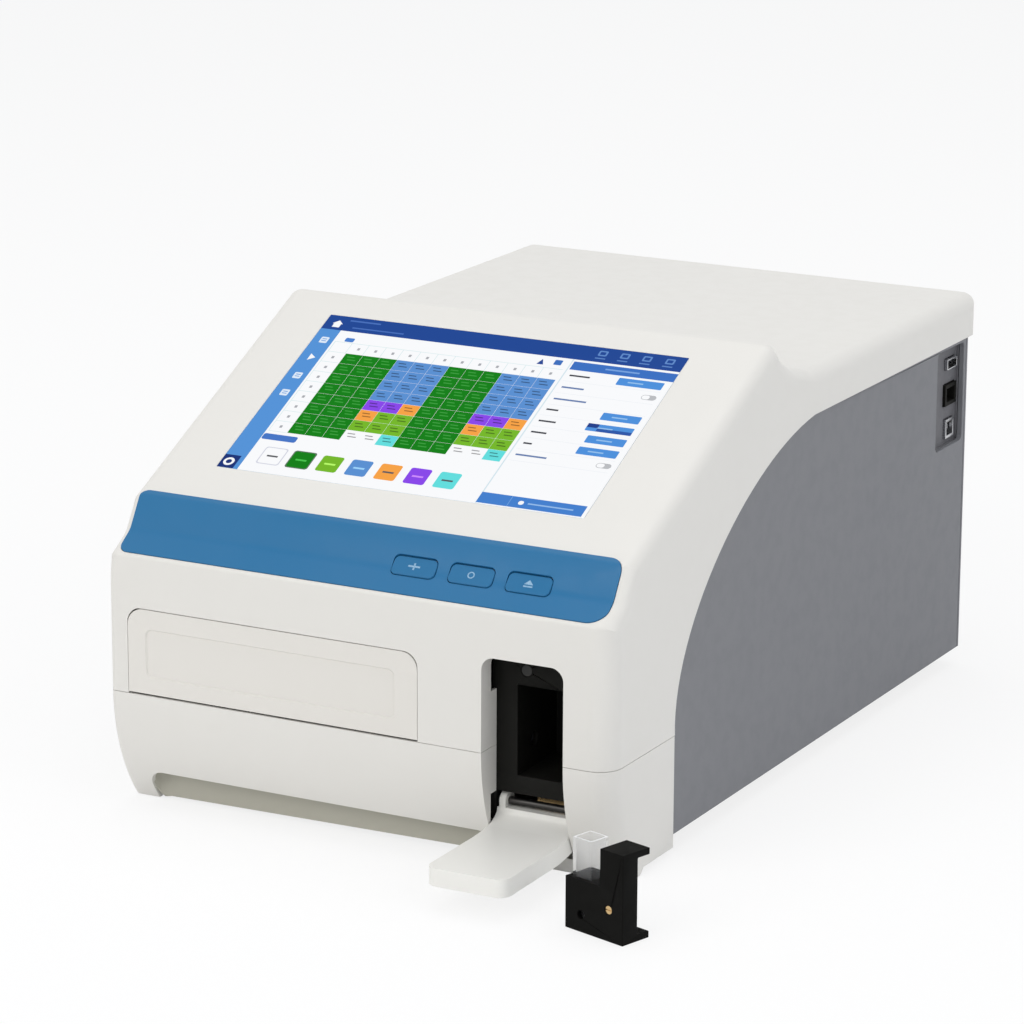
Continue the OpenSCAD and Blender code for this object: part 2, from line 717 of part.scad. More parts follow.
module fan_frame() color([0.1, 0.1, 0.1]) from_front() difference() {
    block([fan_x - fan_w / 2, rear_in - gap - fan_d, fan_z - fan_w / 2],
        [fan_x + fan_w / 2, rear_in - gap, fan_z + fan_w / 2]);
    difference() {
        y_rod(fan_x, rear_in - fan_d - 2, rear_in, fan_z, fan_w / 2 - 2.5);
        y_rod(fan_x, rear_in - fan_d - 2, rear_in - fan_d + 2, fan_z, 12);
        for (a = [0, 90]) translate([fan_x, rear_in - fan_d - 1, fan_z]) rotate([0, a + 45, 0])
            translate([-fan_w, 0, -2]) cube([2 * fan_w, 3, 4]);
    }
    for (x = [-1, 1], z = [-1, 1])
        y_rod(fan_x + x * (fan_w / 2 - 5), rear_in - fan_d - 2, rear_in + 1,
            fan_z + z * (fan_w / 2 - 5), 2.1);
    y_rod(fan_x, rear_in - fan_d - 2, rear_in - fan_d + 3, fan_z, 1.56);
}

module fan_rotor() color([0.13, 0.13, 0.13]) from_front() {
    y_rod(fan_x, rear_in - fan_d - 0.2, rear_in - fan_d + 4, fan_z, 1.5);
    y_rod(fan_x, rear_in - fan_d + 2.6, rear_in - 2.5, fan_z, 11);
    for (i = [0 : fan_blades - 1]) translate([fan_x, rear_in - fan_d / 2, fan_z])
        rotate([0, i * 360 / fan_blades, 0]) translate([10, -8, 0]) rotate([38, 0, 0])
            translate([0, 0, -0.6]) cube([fan_w / 2 - 14.5, 15, 1.2]);
}

module fan_guard() color("silver") from_front() {
    for (r = [7 : 7 : fan_w / 2 - 1]) translate([fan_x, rear_y + 0.3, fan_z]) rotate([-90, 0, 0])
        difference() {
            cylinder(1.6, r = r + 0.8);
            translate([0, 0, -1]) cylinder(4, r = r - 0.8);
        }
    for (a = [45, 135]) translate([fan_x, rear_y + 0.3, fan_z]) rotate([0, a, 0])
        difference() {
            translate([-fan_w / 2 - 9, 0, -0.8]) cube([fan_w + 18, 1.6, 1.6]);
            for (s = [-1, 1]) translate([s * (fan_w / 2 + 7), -1, 0]) rotate([-90, 0, 0])
                cylinder(4, r = 0.4);
        }
}

module chassis_plate() color([0.75, 0.75, 0.76]) from_front()
    block([chassis_x0, 10, chassis_z], [chassis_x1, rail_y1 + 14, chassis_top]);

module rail_pair(y0, y1, r) for (s = [-1, 1]) y_rod(door_mid + s * rail_pitch / 2, y0, y1, rail_z, r);

module carrier_rails() color("silver") from_front() rail_pair(rail_y0, rail_y1, rail_r);

module rail_blocks() color([0.4, 0.4, 0.42]) from_front() difference() {
    for (s = [-1, 1], y = [rail_y0 - 0.5, rail_y1 - block_len + 0.5])
        block([door_mid + s * rail_pitch / 2 - 8, y, chassis_top],
            [door_mid + s * rail_pitch / 2 + 8, y + block_len, rail_z + 8]);
    rail_pair(rail_y0 - 2, rail_y1 + 2, rail_r + 0.02);
}

module plate_carrier() color([0.3, 0.3, 0.32]) from_front() difference() {
    union() {
        block([door_mid - nest_w / 2, carrier_y, carrier_z],
            [door_mid + nest_w / 2, nest_y + plate_wd + 10, carrier_z + nest_h]);
        block([door_mid - tail_w / 2, nest_y + plate_wd, carrier_z],
            [door_mid + tail_w / 2, carrier_y + carrier_len, carrier_z + carrier_t]);
        for (s = [-1, 1], y = bearing_y)
            block([door_mid + s * rail_pitch / 2 - 9, y, rail_z - 9],
                [door_mid + s * rail_pitch / 2 + 9, y + bearing_len, carrier_z + 1]);
        block([belt_x - 5, carrier_y + 170, belt_z + pulley_r + belt_t + 0.8],
            [belt_x + 5, carrier_y + 190, carrier_z + 1]);
    }
    block([door_mid - plate_l / 2 - 0.4, nest_y - 0.4, carrier_z + carrier_t],
        [door_mid + plate_l / 2 + 0.4, nest_y + plate_wd + 0.4, carrier_z + nest_h + 1]);
    block([door_mid - plate_l / 2 + 5, nest_y + 5, carrier_z - 1],
        [door_mid + plate_l / 2 - 5, nest_y + plate_wd - 5, carrier_z + carrier_t + 1]);
    for (x = [door_mid - plate_l / 2, door_mid + plate_l / 2])
        z_rod(x, nest_y + plate_wd / 2, carrier_z + carrier_t + 3, carrier_z + nest_h + 1, 9);
    rail_pair(carrier_y + 140, carrier_y + 260, bearing_r + 0.02);
}

module carrier_bearings() color([0.72, 0.55, 0.3]) from_front() difference() {
    for (y = bearing_y) rail_pair(y, y + bearing_len, bearing_r);
    rail_pair(carrier_y, carrier_y + travel + 50, rail_r + 0.06);
}

module plate_clamp() color("silver") from_front() {
    block([door_mid + plate_l / 2 + 1.2, nest_y + 6, carrier_z + nest_h],
        [door_mid + plate_l / 2 + 7, nest_y + 20, carrier_z + nest_h + 0.8]);
    z_rod(door_mid + plate_l / 2 + 4.4, nest_y + 13, carrier_z + nest_h + 0.8, carrier_z + nest_h + 2, 2);
}

module motor_case(face_x, y, z)
    block([face_x, y - motor_w / 2, z - motor_w / 2],
        [face_x + motor_l, y + motor_w / 2, z + motor_w / 2]);

// the two motors are the same bought part: one turns the belt wheel, the other the screw
module stepper_motors() color([0.25, 0.25, 0.27]) from_front() {
    x_rod(belt_x - 4, motor_face_x + 1, drive_y, belt_z, motor_shaft_r);
    motor_case(motor_face_x, drive_y, belt_z);
    difference() {
        motor_case(bracket_x1 + bracket_t, screw_y, screw_z);
        x_rod(bracket_x1, bracket_x1 + bracket_t + 10, screw_y, screw_z, 3.06);
    }
}

module pulley(y, bore) difference() {
    union() {
        x_rod(belt_x - 3.4, belt_x + 3.4, y, belt_z, pulley_r);
        for (x = [belt_x - 4.4, belt_x + 3.4]) x_rod(x, x + 1, y, belt_z, pulley_r + 1.2);
    }
    x_rod(belt_x - 6, belt_x + 6, y, belt_z, bore);
}

module drive_pulley() color("silver") from_front() pulley(drive_y, 2.55);
module idler_pulley() color("silver") from_front() pulley(idler_y, 2.05);

module idler_bracket() color([0.7, 0.7, 0.7]) from_front() {
    for (x = [belt_x - 8, belt_x + 6]) block([x, idler_y - 6, chassis_top], [x + 2, idler_y + 6, belt_z + 6]);
    x_rod(belt_x - 7, belt_x + 7, idler_y, belt_z, 2);
}

module belt_loop(r) {
    translate([idler_y, belt_z]) circle(r);
    translate([drive_y, belt_z]) circle(r);
    translate([idler_y, belt_z - r]) square([drive_y - idler_y, 2 * r]);
}

module drive_belt() color([0.07, 0.07, 0.07]) from_front()
    side_extrude(belt_x - belt_w / 2, belt_x + belt_w / 2) difference() {
        belt_loop(pulley_r + 0.3 + belt_t);
        belt_loop(pulley_r + 0.3);
    }

module head_brackets() color([0.7, 0.7, 0.71]) from_front() difference() {
    for (x = [bracket_x0, bracket_x1])
        block([x, head_y0, chassis_top], [x + bracket_t, head_y1, head_z1 + 8]);
    for (p = head_rail_at)
        x_rod(bracket_x0 - 1, bracket_x1 + bracket_t + 1, p.x, p.y, head_rail_r + 0.02);
    x_rod(bracket_x0 - 1, bracket_x1 + bracket_t + 1, screw_y, screw_z, 3.06);
    x_rod(bracket_x1 - 1, bracket_x1 + bracket_t + 1, beam_y, beam_z, 4);
    block([bracket_x0 - 1, head_y0 + 12, 50], [bracket_x1 + bracket_t + 1, head_y1 - 12, 84]);
}

module head_rails() color("silver") from_front() for (p = head_rail_at)
    x_rod(bracket_x0, bracket_x1 + bracket_t, p.x, p.y, head_rail_r);

module optical_head() color([0.15, 0.15, 0.16]) from_front() difference() {
    union() {
        block([door_mid - head_x / 2, head_y0, head_z0], [door_mid + head_x / 2, head_y1, head_z1]);
        z_rod(door_mid, beam_y - 6, head_z1 - 1, head_z1 + 40, 10);
    }
    for (p = head_rail_at) x_rod(door_mid - 30, door_mid + 30, p.x, p.y, head_rail_r + 0.06);
    x_rod(door_mid - 30, door_mid + 30, screw_y, screw_z, 3.06);
    x_rod(door_mid, door_mid + 30, beam_y, beam_z, 4);
    z_rod(door_mid, beam_y, head_z0 - 1, beam_z, 5);
}

module head_lens() color([0.7, 0.85, 0.9]) from_front()
    z_rod(door_mid, beam_y, head_z0 + 1, head_z0 + 5, 4.95);

module lead_screw() color("silver") from_front()
    x_rod(bracket_x0 + 0.5, bracket_x1 + bracket_t + 8, screw_y, screw_z, 3);

module optics_shelf() color([0.72, 0.72, 0.73]) from_front()
    block([shelf_x0, shelf_y0, shelf_z], [shelf_x1, shelf_y1, shelf_z + shelf_t]);

module monochromator() color([0.2, 0.2, 0.21]) from_front() difference() {
    union() {
        block([mono_x0, mono_y0, mono_z0], [mono_x1, mono_y1, mono_z0 + mono_h]);
        x_rod(bracket_x1 + bracket_t, mono_x0 + 1, beam_y, beam_z, 6);
    }
    block([mono_x0 + 3, mono_y0 + 3, mono_z0 + 3], [mono_x1 - 3, mono_y1 - 3, mono_z0 + mono_h + 1]);
    x_rod(bracket_x1, mono_x0 + 5, beam_y, beam_z, 4);
    z_rod(grating_x, grating_y, mono_z0 - 1, mono_z0 + 4, 3.06);
    y_rod(grating_x, mono_y1 - 5, mono_y1 + 5, mono_z0 + 28, 5);
}

// Grating on its turning post
module grating() color([0.6, 0.65, 0.75]) from_front() translate([grating_x, grating_y, 0]) {
    z_rod(0, 0, mono_z0 + 0.4, mono_z0 + 8, 3);
    z_rod(0, 0, mono_z0 + 3.3, mono_z0 + 8, 8);
    rotate([0, 0, 30]) block([-12, -3, mono_z0 + 7], [12, 3, mono_z0 + 34]);
}

module flash_lamp() color([0.35, 0.35, 0.37]) from_front() {
    block([mono_x0 + 12, mono_y1 + 0.2, mono_z0 + 10], [mono_x0 + 56, mono_y1 + 36, mono_z0 + 46]);
    block([mono_x0 + 12, mono_y1 + 4, mono_z0], [mono_x0 + 56, mono_y1 + 9.5, mono_z0 + 10]);
}

module main_board() color([0.1, 0.35, 0.2]) from_front() {
    block([-panel_in + 6, 230, 60], [-panel_in + 7.6, 430, 190]);
    for (y = [238, 422], z = [68, 182]) x_rod(-panel_in + 0.2, -panel_in + 6, y, z, 3);
    for (p = [[260, 90, 30], [330, 100, 40], [320, 155, 24]])
        block([-panel_in + 7.6, p.x, p.y], [-panel_in + 10.6, p.x + p.z, p.y + p.z]);
}

module power_supply() color([0.7, 0.7, 0.68]) from_front() {
    block([half_w - 98, 300, tray_z + tray_t], [half_w - 12, rear_y - 32, 52]);
}

module at_holder() from_front() translate([holder_x, holder_y, 0]) rotate([0, 0, holder_turn]) children();

module holder_body() color([0.06, 0.06, 0.06]) at_holder() difference() {
    union() {
        block([-handle_l, 0, 0], [0, holder_w, holder_h]);
        block([-holder_l, 0, 0], [-handle_l, holder_w, block_h]);
    }
    block([-handle_l - 1, holder_w - 8.3, 3.5], [1, holder_w + 1, holder_h - 3.5]);
    block([-holder_l - 1, holder_w - 1, -1], [-handle_l, holder_w + 1, block_h + 1]);
    block([cuvette_x - pocket_gap, cuvette_y - pocket_gap, cuvette_floor],
        [cuvette_x + cuvette_w + pocket_gap, cuvette_y + cuvette_w + pocket_gap, block_h + 1]);
    y_rod(cuvette_x + cuvette_w / 2 + 2.4, -1, holder_w + 1, 9, holder_hole_r);
    y_rod(holder_screw_x, -1, 1.6, holder_screw_z, holder_screw_head + 0.3);
    y_rod(holder_screw_x, 0, holder_w, holder_screw_z, holder_screw_r + 0.05);
}

// Countersunk screw in the front of the handle, with a slot across its head
module holder_screw() color([0.72, 0.55, 0.35]) at_holder() difference() {
    union() {
        y_rod(holder_screw_x, 0.6, 1.6, holder_screw_z, holder_screw_head);
        y_rod(holder_screw_x, 1.5, 9, holder_screw_z, holder_screw_r);
    }
    block([holder_screw_x - 3, 0, holder_screw_z - 0.3], [holder_screw_x + 3, 1.1, holder_screw_z + 0.3]);
}

module cuvette() color([0.85, 0.93, 0.97]) at_holder() difference() {
    block([cuvette_x, cuvette_y, cuvette_floor + 0.3],
        [cuvette_x + cuvette_w, cuvette_y + cuvette_w, cuvette_floor + 0.3 + cuvette_h]);
    block([cuvette_x + cuvette_wall, cuvette_y + cuvette_wall, cuvette_floor + 0.3 + cuvette_wall],
        [cuvette_x + cuvette_w - cuvette_wall, cuvette_y + cuvette_w - cuvette_wall,
            cuvette_floor + cuvette_h + 1]);
}

base_tray();
rubber_feet();
front_shell();
upper_housing();
left_side_panel();
right_side_panel();
rear_panel();
key_strip();
key_left();
key_middle();
key_right();
key_board();
touch_glass();
display_module();
display_bracket();
plate_door();
plate_door_pin();
cuvette_port_liner();
door_magnet();
door_catch_spring();
cuvette_light_block();
cuvette_detector();
cuvette_door();
cuvette_door_pin();
interface_tub();
usb_a_port();
ethernet_port();
usb_b_port();
interface_board();
power_inlet();
power_switch_housing();
power_rocker();
fan_frame();
fan_rotor();
fan_guard();
chassis_plate();
carrier_rails();
rail_blocks();
plate_carrier();
carrier_bearings();
plate_clamp();
stepper_motors();
drive_pulley();
idler_pulley();
idler_bracket();
drive_belt();
head_brackets();
head_rails();
optical_head();
head_lens();
lead_screw();
optics_shelf();
monochromator();
grating();
flash_lamp();
main_board();
power_supply();
holder_body();
holder_screw();
cuvette();
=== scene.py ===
import math

import bmesh
import bpy
from mathutils import Matrix, Vector


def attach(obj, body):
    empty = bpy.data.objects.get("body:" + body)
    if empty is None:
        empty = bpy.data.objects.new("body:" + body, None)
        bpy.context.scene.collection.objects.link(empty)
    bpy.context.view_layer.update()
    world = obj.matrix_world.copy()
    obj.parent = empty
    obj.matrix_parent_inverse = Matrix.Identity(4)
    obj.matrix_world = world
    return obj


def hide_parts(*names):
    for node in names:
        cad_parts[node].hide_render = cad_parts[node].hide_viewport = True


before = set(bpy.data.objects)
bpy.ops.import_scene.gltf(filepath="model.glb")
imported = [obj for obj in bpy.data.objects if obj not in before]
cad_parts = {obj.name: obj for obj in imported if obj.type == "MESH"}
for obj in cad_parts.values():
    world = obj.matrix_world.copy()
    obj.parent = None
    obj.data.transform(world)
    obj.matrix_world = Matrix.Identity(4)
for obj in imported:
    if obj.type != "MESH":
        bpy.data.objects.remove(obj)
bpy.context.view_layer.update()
MM = 0.001


# ---- Bench, light and camera --------------------------------------------------------------
# A pale, even bench top under soft studio light: two broad lamps from the front and a third
# overhead. The camera looks down a little from the instrument's right front corner.
scene = bpy.context.scene
scene.view_settings.view_transform = "Standard"


def link(obj):
    """Puts an object in the scene and returns it."""
    scene.collection.objects.link(obj)
    return obj


def look_from(azimuth, elevation, roll, distance, target):
    """Camera place and turn for a view from that side, in degrees and metres."""
    az, el, ro = (math.radians(v) for v in (azimuth, elevation, roll))
    back = Vector((math.sin(az) * math.cos(el), -math.cos(az) * math.cos(el), math.sin(el)))
    level = (-back).cross(Vector((0, 0, 1))).normalized()
    over = back.cross(level)
    right = math.cos(ro) * level + math.sin(ro) * over
    up = back.cross(right)
    turn = Matrix((right, up, back)).transposed().to_4x4()
    return Matrix.Translation(Vector(target) + back * distance) @ turn


camera = link(bpy.data.objects.new("camera", bpy.data.cameras.new("camera")))
camera.matrix_world = look_from(azimuth=28.02, elevation=15.06, roll=0.25, distance=2.366,
                                target=(-0.0131, -0.0373, 0.1322))
camera.data.lens = 151.84
camera.data.sensor_width = 36
camera.data.clip_end = 20
scene.camera = camera


def area_lamp(name, place, size, watts, tint=(1, 1, 1)):
    """Soft square lamp at a place, aimed at the instrument."""
    lamp = link(bpy.data.objects.new(name, bpy.data.lights.new(name, "AREA")))
    lamp.data.size = size
    lamp.data.energy = watts
    lamp.data.color = tint
    lamp.location = place
    towards = Vector((0, 0, 0.1)) - Vector(place)
    lamp.rotation_euler = towards.to_track_quat("-Z", "Y").to_euler()


area_lamp("front_lamp", (-0.7, -2.4, 1.5), size=1.6, watts=22, tint=(1, 0.975, 0.935))
area_lamp("side_lamp", (2.4, -0.6, 1.3), size=1.6, watts=12.5, tint=(0.955, 0.965, 1))
area_lamp("overhead_lamp", (0, 0.3, 2.6), size=2.2, watts=20)


def node_tree(owner):
    """Emptied node tree of a material or world."""
    owner.use_nodes = True
    owner.node_tree.nodes.clear()
    return owner.node_tree


def add(tree, kind, **settings):
    """New node; a setting that names an input sets that input's value."""
    node = tree.nodes.new(kind)
    for key, value in settings.items():
        spoken = key.replace("_", " ")
        if hasattr(node, key) and key not in node.inputs:
            setattr(node, key, value)
        else:
            node.inputs[spoken].default_value = value
    return node


def wire(tree, *pairs):
    """Links each output to its input."""
    for source, plug in pairs:
        tree.links.new(source, plug)


def lit_or_seen(tree, lit, seen, ending, share=1.0):
    """Ends a tree: scattered light takes one shader, and a share of what is seen the other."""
    rays = add(tree, "ShaderNodeLightPath")
    either, any_of = (add(tree, "ShaderNodeMath", operation="MAXIMUM") for _ in range(2))
    wire(tree, (rays.outputs["Is Camera Ray"], either.inputs[0]),
         (rays.outputs["Is Transmission Ray"], either.inputs[1]),
         (either.outputs[0], any_of.inputs[0]), (rays.outputs["Is Glossy Ray"], any_of.inputs[1]))
    if share < 1:
        part = add(tree, "ShaderNodeMath", operation="MULTIPLY")
        part.inputs[1].default_value = share
        wire(tree, (any_of.outputs[0], part.inputs[0]))
        any_of = part
    mix = add(tree, "ShaderNodeMixShader")
    wire(tree, (any_of.outputs[0], mix.inputs[0]), (lit.outputs[0], mix.inputs[1]),
         (seen.outputs[0], mix.inputs[2]), (mix.outputs[0], add(tree, ending).inputs["Surface"]))


world = bpy.data.worlds.new("studio")
scene.world = world
tree = node_tree(world)
lit_or_seen(tree, add(tree, "ShaderNodeBackground", Color=(0.95, 0.97, 1, 1), Strength=0.62),
            add(tree, "ShaderNodeBackground", Color=(1, 1, 1, 1), Strength=1.0),
            "ShaderNodeOutputWorld")
bench = bpy.data.materials.new("bench_top")
tree = node_tree(bench)
lit_or_seen(tree, add(tree, "ShaderNodeBsdfDiffuse", Color=(0.93, 0.93, 0.93, 1)),
            add(tree, "ShaderNodeEmission", Color=(1, 1, 1, 1), Strength=1.0),
            "ShaderNodeOutputMaterial", share=0.8)
bpy.ops.mesh.primitive_plane_add(size=8)
floor = bpy.context.object
floor.name = "bench_surface"
floor.data.materials.append(bench)


# ---- Hood -----------------------------------------------------------------------------------
# One large injection moulding in white ABS with a fine satin texture: the front face above the
# seam, the sloping console, the ridge, the lid and the upper side walls, all 3.2 mm thick. It
# drops over the steel tray and is screwed to it from below.
def srgb(red, green, blue):
    """Linear colour of a swatch measured in 0-255 steps."""
    line = [v / 255 / 12.92 if v <= 10 else ((v / 255 + 0.055) / 1.055) ** 2.4
            for v in (red, green, blue)]
    return (*line, 1)


def surface_group(name, inputs, outputs):
    """Empty shader group with its ends: inputs and outputs are (name, kind, start value)."""
    group = bpy.data.node_groups.new(name, "ShaderNodeTree")
    for way, rows in (("INPUT", inputs), ("OUTPUT", outputs)):
        for label, kind, start in rows:
            plug = group.interface.new_socket(label, in_out=way, socket_type="NodeSocket" + kind)
            if start is not None:
                plug.default_value = start
    return group, group.nodes.new("NodeGroupInput"), group.nodes.new("NodeGroupOutput")


def maths(tree, operation, first, second):
    """Math node; each side is an output to link or a number."""
    node = tree.nodes.new("ShaderNodeMath")
    node.operation = operation
    for i, side in enumerate((first, second)):
        if isinstance(side, (int, float)):
            node.inputs[i].default_value = side
        else:
            tree.links.new(side, node.inputs[i])
    return node.outputs[0]


def own_place(tree):
    """The object's own coordinates."""
    return add(tree, "ShaderNodeTexCoord").outputs["Object"]


def speckle(tree, place, scale, detail=2.0, rough=0.5):
    """Noise over the object's own coordinates; scale is in features per metre."""
    node = add(tree, "ShaderNodeTexNoise", Detail=detail, Roughness=rough)
    tree.links.new(place, node.inputs["Vector"])
    if isinstance(scale, (int, float)):
        node.inputs["Scale"].default_value = scale
    else:
        tree.links.new(scale, node.inputs["Scale"])
    return node.outputs["Fac"]


def spread(tree, value, low, high, to_low=0.0, to_high=1.0):
    """Maps a value from one range to another, without overshoot."""
    node = add(tree, "ShaderNodeMapRange", clamp=True)
    for label, amount in (("From Min", low), ("From Max", high), ("To Min", to_low),
                          ("To Max", to_high)):
        if isinstance(amount, (int, float)):
            node.inputs[label].default_value = amount
        else:
            tree.links.new(amount, node.inputs[label])
    tree.links.new(value, node.inputs["Value"])
    return node.outputs[0]


def tinted(tree, colour, other, share):
    """Mixes a colour towards another by a mask."""
    node = tree.nodes.new("ShaderNodeMix")
    node.data_type = "RGBA"
    for plug, side in ((node.inputs[6], colour), (node.inputs[7], other),
                       (node.inputs[0], share)):
        if isinstance(side, (tuple, int, float)):
            plug.default_value = side
        else:
            tree.links.new(side, plug)
    return node.outputs[2]


# Moulded surface: spark-eroded grain, a faint cloudy tint, and handling marks that polish it.
moulded, ends_in, ends_out = surface_group(
    "moulded_surface",
    [("Colour", "Color", (0.8, 0.8, 0.8, 1)), ("Grain per metre", "Float", 4200.0),
     ("Roughness", "Float", 0.45), ("Tint", "Float", 0.05)],
    [("Colour", "Color", None), ("Roughness", "Float", None), ("Height", "Float", None)])
place = own_place(moulded)
grain = speckle(moulded, place, ends_in.outputs["Grain per metre"], 3.0, 0.6)
cloud = speckle(moulded, place, 14.0, 4.0, 0.55)
streak = speckle(moulded, place, 95.0, 3.0, 0.6)
tint = maths(moulded, "MULTIPLY", spread(moulded, cloud, 0.3, 0.7), ends_in.outputs["Tint"])
shaded = tinted(moulded, ends_in.outputs["Colour"], (0.62, 0.6, 0.55, 1), tint)
handling = spread(moulded, streak, 0.42, 0.66, -0.05, 0.05)
rough = maths(moulded, "ADD", ends_in.outputs["Roughness"], handling)
wire(moulded, (shaded, ends_out.inputs["Colour"]), (grain, ends_out.inputs["Height"]),
     (spread(moulded, rough, 0.04, 1.0, 0.04, 1.0), ends_out.inputs["Roughness"]))


def bare(name, slot=None, **shader):
    """New material with one shader: the material, its tree and the shader."""
    material = bpy.data.materials.new(name)
    material["slot"] = slot or name
    tree = node_tree(material)
    shade = add(tree, "ShaderNodeBsdfPrincipled", **shader)
    wire(tree, (shade.outputs[0], add(tree, "ShaderNodeOutputMaterial").inputs["Surface"]))
    return material, tree, shade


def finish(name, group, relief, values, slot=None, **shader):
    """Material whose colour, roughness and relief (in mm) come from a surface group."""
    material, tree, shade = bare(name, slot, **shader)
    surface = tree.nodes.new("ShaderNodeGroup")
    surface.node_tree = group
    for label, value in values.items():
        surface.inputs[label].default_value = value
    bump = add(tree, "ShaderNodeBump", Distance=relief * MM, Strength=1.0)
    wire(tree, (surface.outputs["Colour"], shade.inputs["Base Color"]),
         (surface.outputs["Roughness"], shade.inputs["Roughness"]),
         (surface.outputs["Height"], bump.inputs["Height"]),
         (bump.outputs["Normal"], shade.inputs["Normal"]))
    return material


def plastic(name, colour, rough, tint, relief, grain=4200.0, shine=0.5, slot=None, **shader):
    """Moulded finish; its colour in 0-255 steps and its grain in features per metre."""
    return finish(name, moulded, relief, {
        "Colour": srgb(*colour), "Roughness": rough, "Tint": tint, "Grain per metre": grain},
        slot, Specular_IOR_Level=shine, **shader)


white_shell = plastic("white_shell", (223, 221, 216), rough=0.45, tint=0.03, relief=0.02,
                      shine=0.35)

HALF = 147.8  # half the width over the white walls
WALL = 3.2
FRONT_FACE = 234.3  # from the middle of the footprint to the front face
SEAM = 64.3
LID_EDGE = 197.1
BEHIND_SHELL = 72.7  # where the front shell's side ends and the grey panel begins
PARTING = 0.3  # open line between the front shell and the pieces it meets


def arc_corner(before, at, after, radius, steps=8):
    """Points of a rounded corner of an outline."""
    if radius <= 0:
        return [at]
    u, v = (before - at).normalized(), (after - at).normalized()
    half = math.acos(max(-1.0, min(1.0, u.dot(v)))) / 2
    centre = at + (u + v).normalized() * (radius / math.sin(half))
    a = at + u * (radius / math.tan(half)) - centre
    b = at + v * (radius / math.tan(half)) - centre
    return [centre + (a * (1 - i / steps) + b * i / steps).normalized() * radius
            for i in range(steps + 1)]


def rounded(corners, closed=True, steps=8):
    """Outline with rounded corners from (x, y, radius) rows."""
    line = []
    count = len(corners)
    for i, (x, y, radius) in enumerate(corners):
        if not closed and i in (0, count - 1):
            line.append(Vector((x, y)))
            continue
        before, after = corners[i - 1], corners[(i + 1) % count]
        line += arc_corner(Vector(before[:2]), Vector((x, y)), Vector(after[:2]), radius, steps)
    return line


def stations(line, longest):
    """The line with its long stretches divided, and the outward normal at each point."""
    points = [line[0]]
    for p, q in zip(line, line[1:]):
        cuts = max(1, math.ceil((q - p).length / longest))
        points += [p.lerp(q, i / cuts) for i in range(1, cuts + 1)]
    normals = []
    for i, p in enumerate(points):
        before = (p - points[i - 1]).normalized() if i else Vector((0, 0))
        after = (points[i + 1] - p).normalized() if i + 1 < len(points) else Vector((0, 0))
        along = (before + after).normalized()
        normals.append(Vector((-along.y, along.x)))
    return points, normals


def inward(points, normals, depths):
    """The line moved inward by a depth at each point, with any loops drawn together."""
    moved = [p - n * d for p, n, d in zip(points, normals, depths)]
    for _ in range(60):
        folded = [i for i in range(len(points) - 1)
                  if (moved[i + 1] - moved[i]).dot(points[i + 1] - points[i]) < -1e-9]
        if not folded:
            break
        runs = []
        for i in folded:
            if runs and i <= runs[-1][1]:
                runs[-1][1] = i + 1
            else:
                runs.append([i, i + 1])
        for first, last in runs:
            middle = sum((moved[i] for i in range(first, last + 1)), Vector((0, 0)))
            middle /= last - first + 1
            for i in range(first, last + 1):
                moved[i] = middle.copy()
    return moved


body_line = rounded([
    (0, SEAM, 0), (0, 139.5, 3.5), (13.6, 149.3, 13), (23.6, 166, 2.5), (28, 168, 3),
    (189.5, 246.9, 7), (199.5, 235.7, 9), (216, 226.9, 26), (240, 221.5, 24),
    (468.6, 221.5, 6), (468.6, LID_EDGE, 0)], closed=False)
body_points, body_normals = stations(body_line, 6)


EDGE_STEPS = 8  # facets across a rounded side edge
FRONT_RADIUS = (4.0, 13.0)  # left and right edge of the front face
TOP_RADIUS = 8.0


def side_radius(point, side):
    """Radius of the edge between the front or top and the left (0) or right (1) side."""
    if point.x > 455:
        return TOP_RADIUS
    share = min(1.0, max(0.0, (point.y - 122) / 30))
    share *= share * (3 - 2 * share)
    return FRONT_RADIUS[side] * (1 - share) + TOP_RADIUS * share


def wrapped_shell(points, normals, radii, side_rim):
    """Closed shell that follows a side-view line, with rounded side edges and flat side walls.

    radii is a list of edge radii for the left side and one for the right; side_rim is the
    (y, z) line that ends the side walls, from the last point to the first."""
    bm = bmesh.new()
    turns = [math.radians(90 * k / EDGE_STEPS) for k in range(EDGE_STEPS + 1)]
    last = 2 * EDGE_STEPS + 1
    skins = []
    for skin in (0.0, WALL):
        halves = []
        for side, edge in zip((-1, 1), radii):
            columns = []
            for turn in turns:
                line = inward(points, normals, [r - (r - skin) * math.cos(turn) for r in edge])
                columns.append([(side * (HALF - r + (r - skin) * math.sin(turn)), p.x, p.y)
                                for p, r in zip(line, edge)])
            halves.append([[bm.verts.new(column[i]) for column in columns]
                           for i in range(len(points))])
        grid = [left[::-1] + right for left, right in zip(*halves)]
        rims = [[bm.verts.new((side * (HALF - skin), y, z)) for y, z in side_rim]
                for side in (-1, 1)]
        for a, b in zip(grid, grid[1:]):
            for k in range(last):
                bm.faces.new((a[k], a[k + 1], b[k + 1], b[k]))
        for side, rim in zip((0, last), rims):
            bm.faces.new([row[side] for row in grid] + rim)
        skins.append((grid, rims))
    (outer, outer_rims), (inner, inner_rims) = skins
    for end in (0, -1):
        for k in range(last):
            bm.faces.new((outer[end][k], outer[end][k + 1], inner[end][k + 1], inner[end][k]))
    for side, rim, rim_in in zip((0, last), outer_rims, inner_rims):
        a = [outer[-1][side], *rim, outer[0][side]]
        b = [inner[-1][side], *rim_in, inner[0][side]]
        for i in range(len(a) - 1):
            bm.faces.new((a[i], a[i + 1], b[i + 1], b[i]))
    bmesh.ops.remove_doubles(bm, verts=bm.verts, dist=0.003)
    bmesh.ops.dissolve_degenerate(bm, edges=bm.edges, dist=0.002)
    bmesh.ops.recalc_face_normals(bm, faces=bm.faces)
    return bm


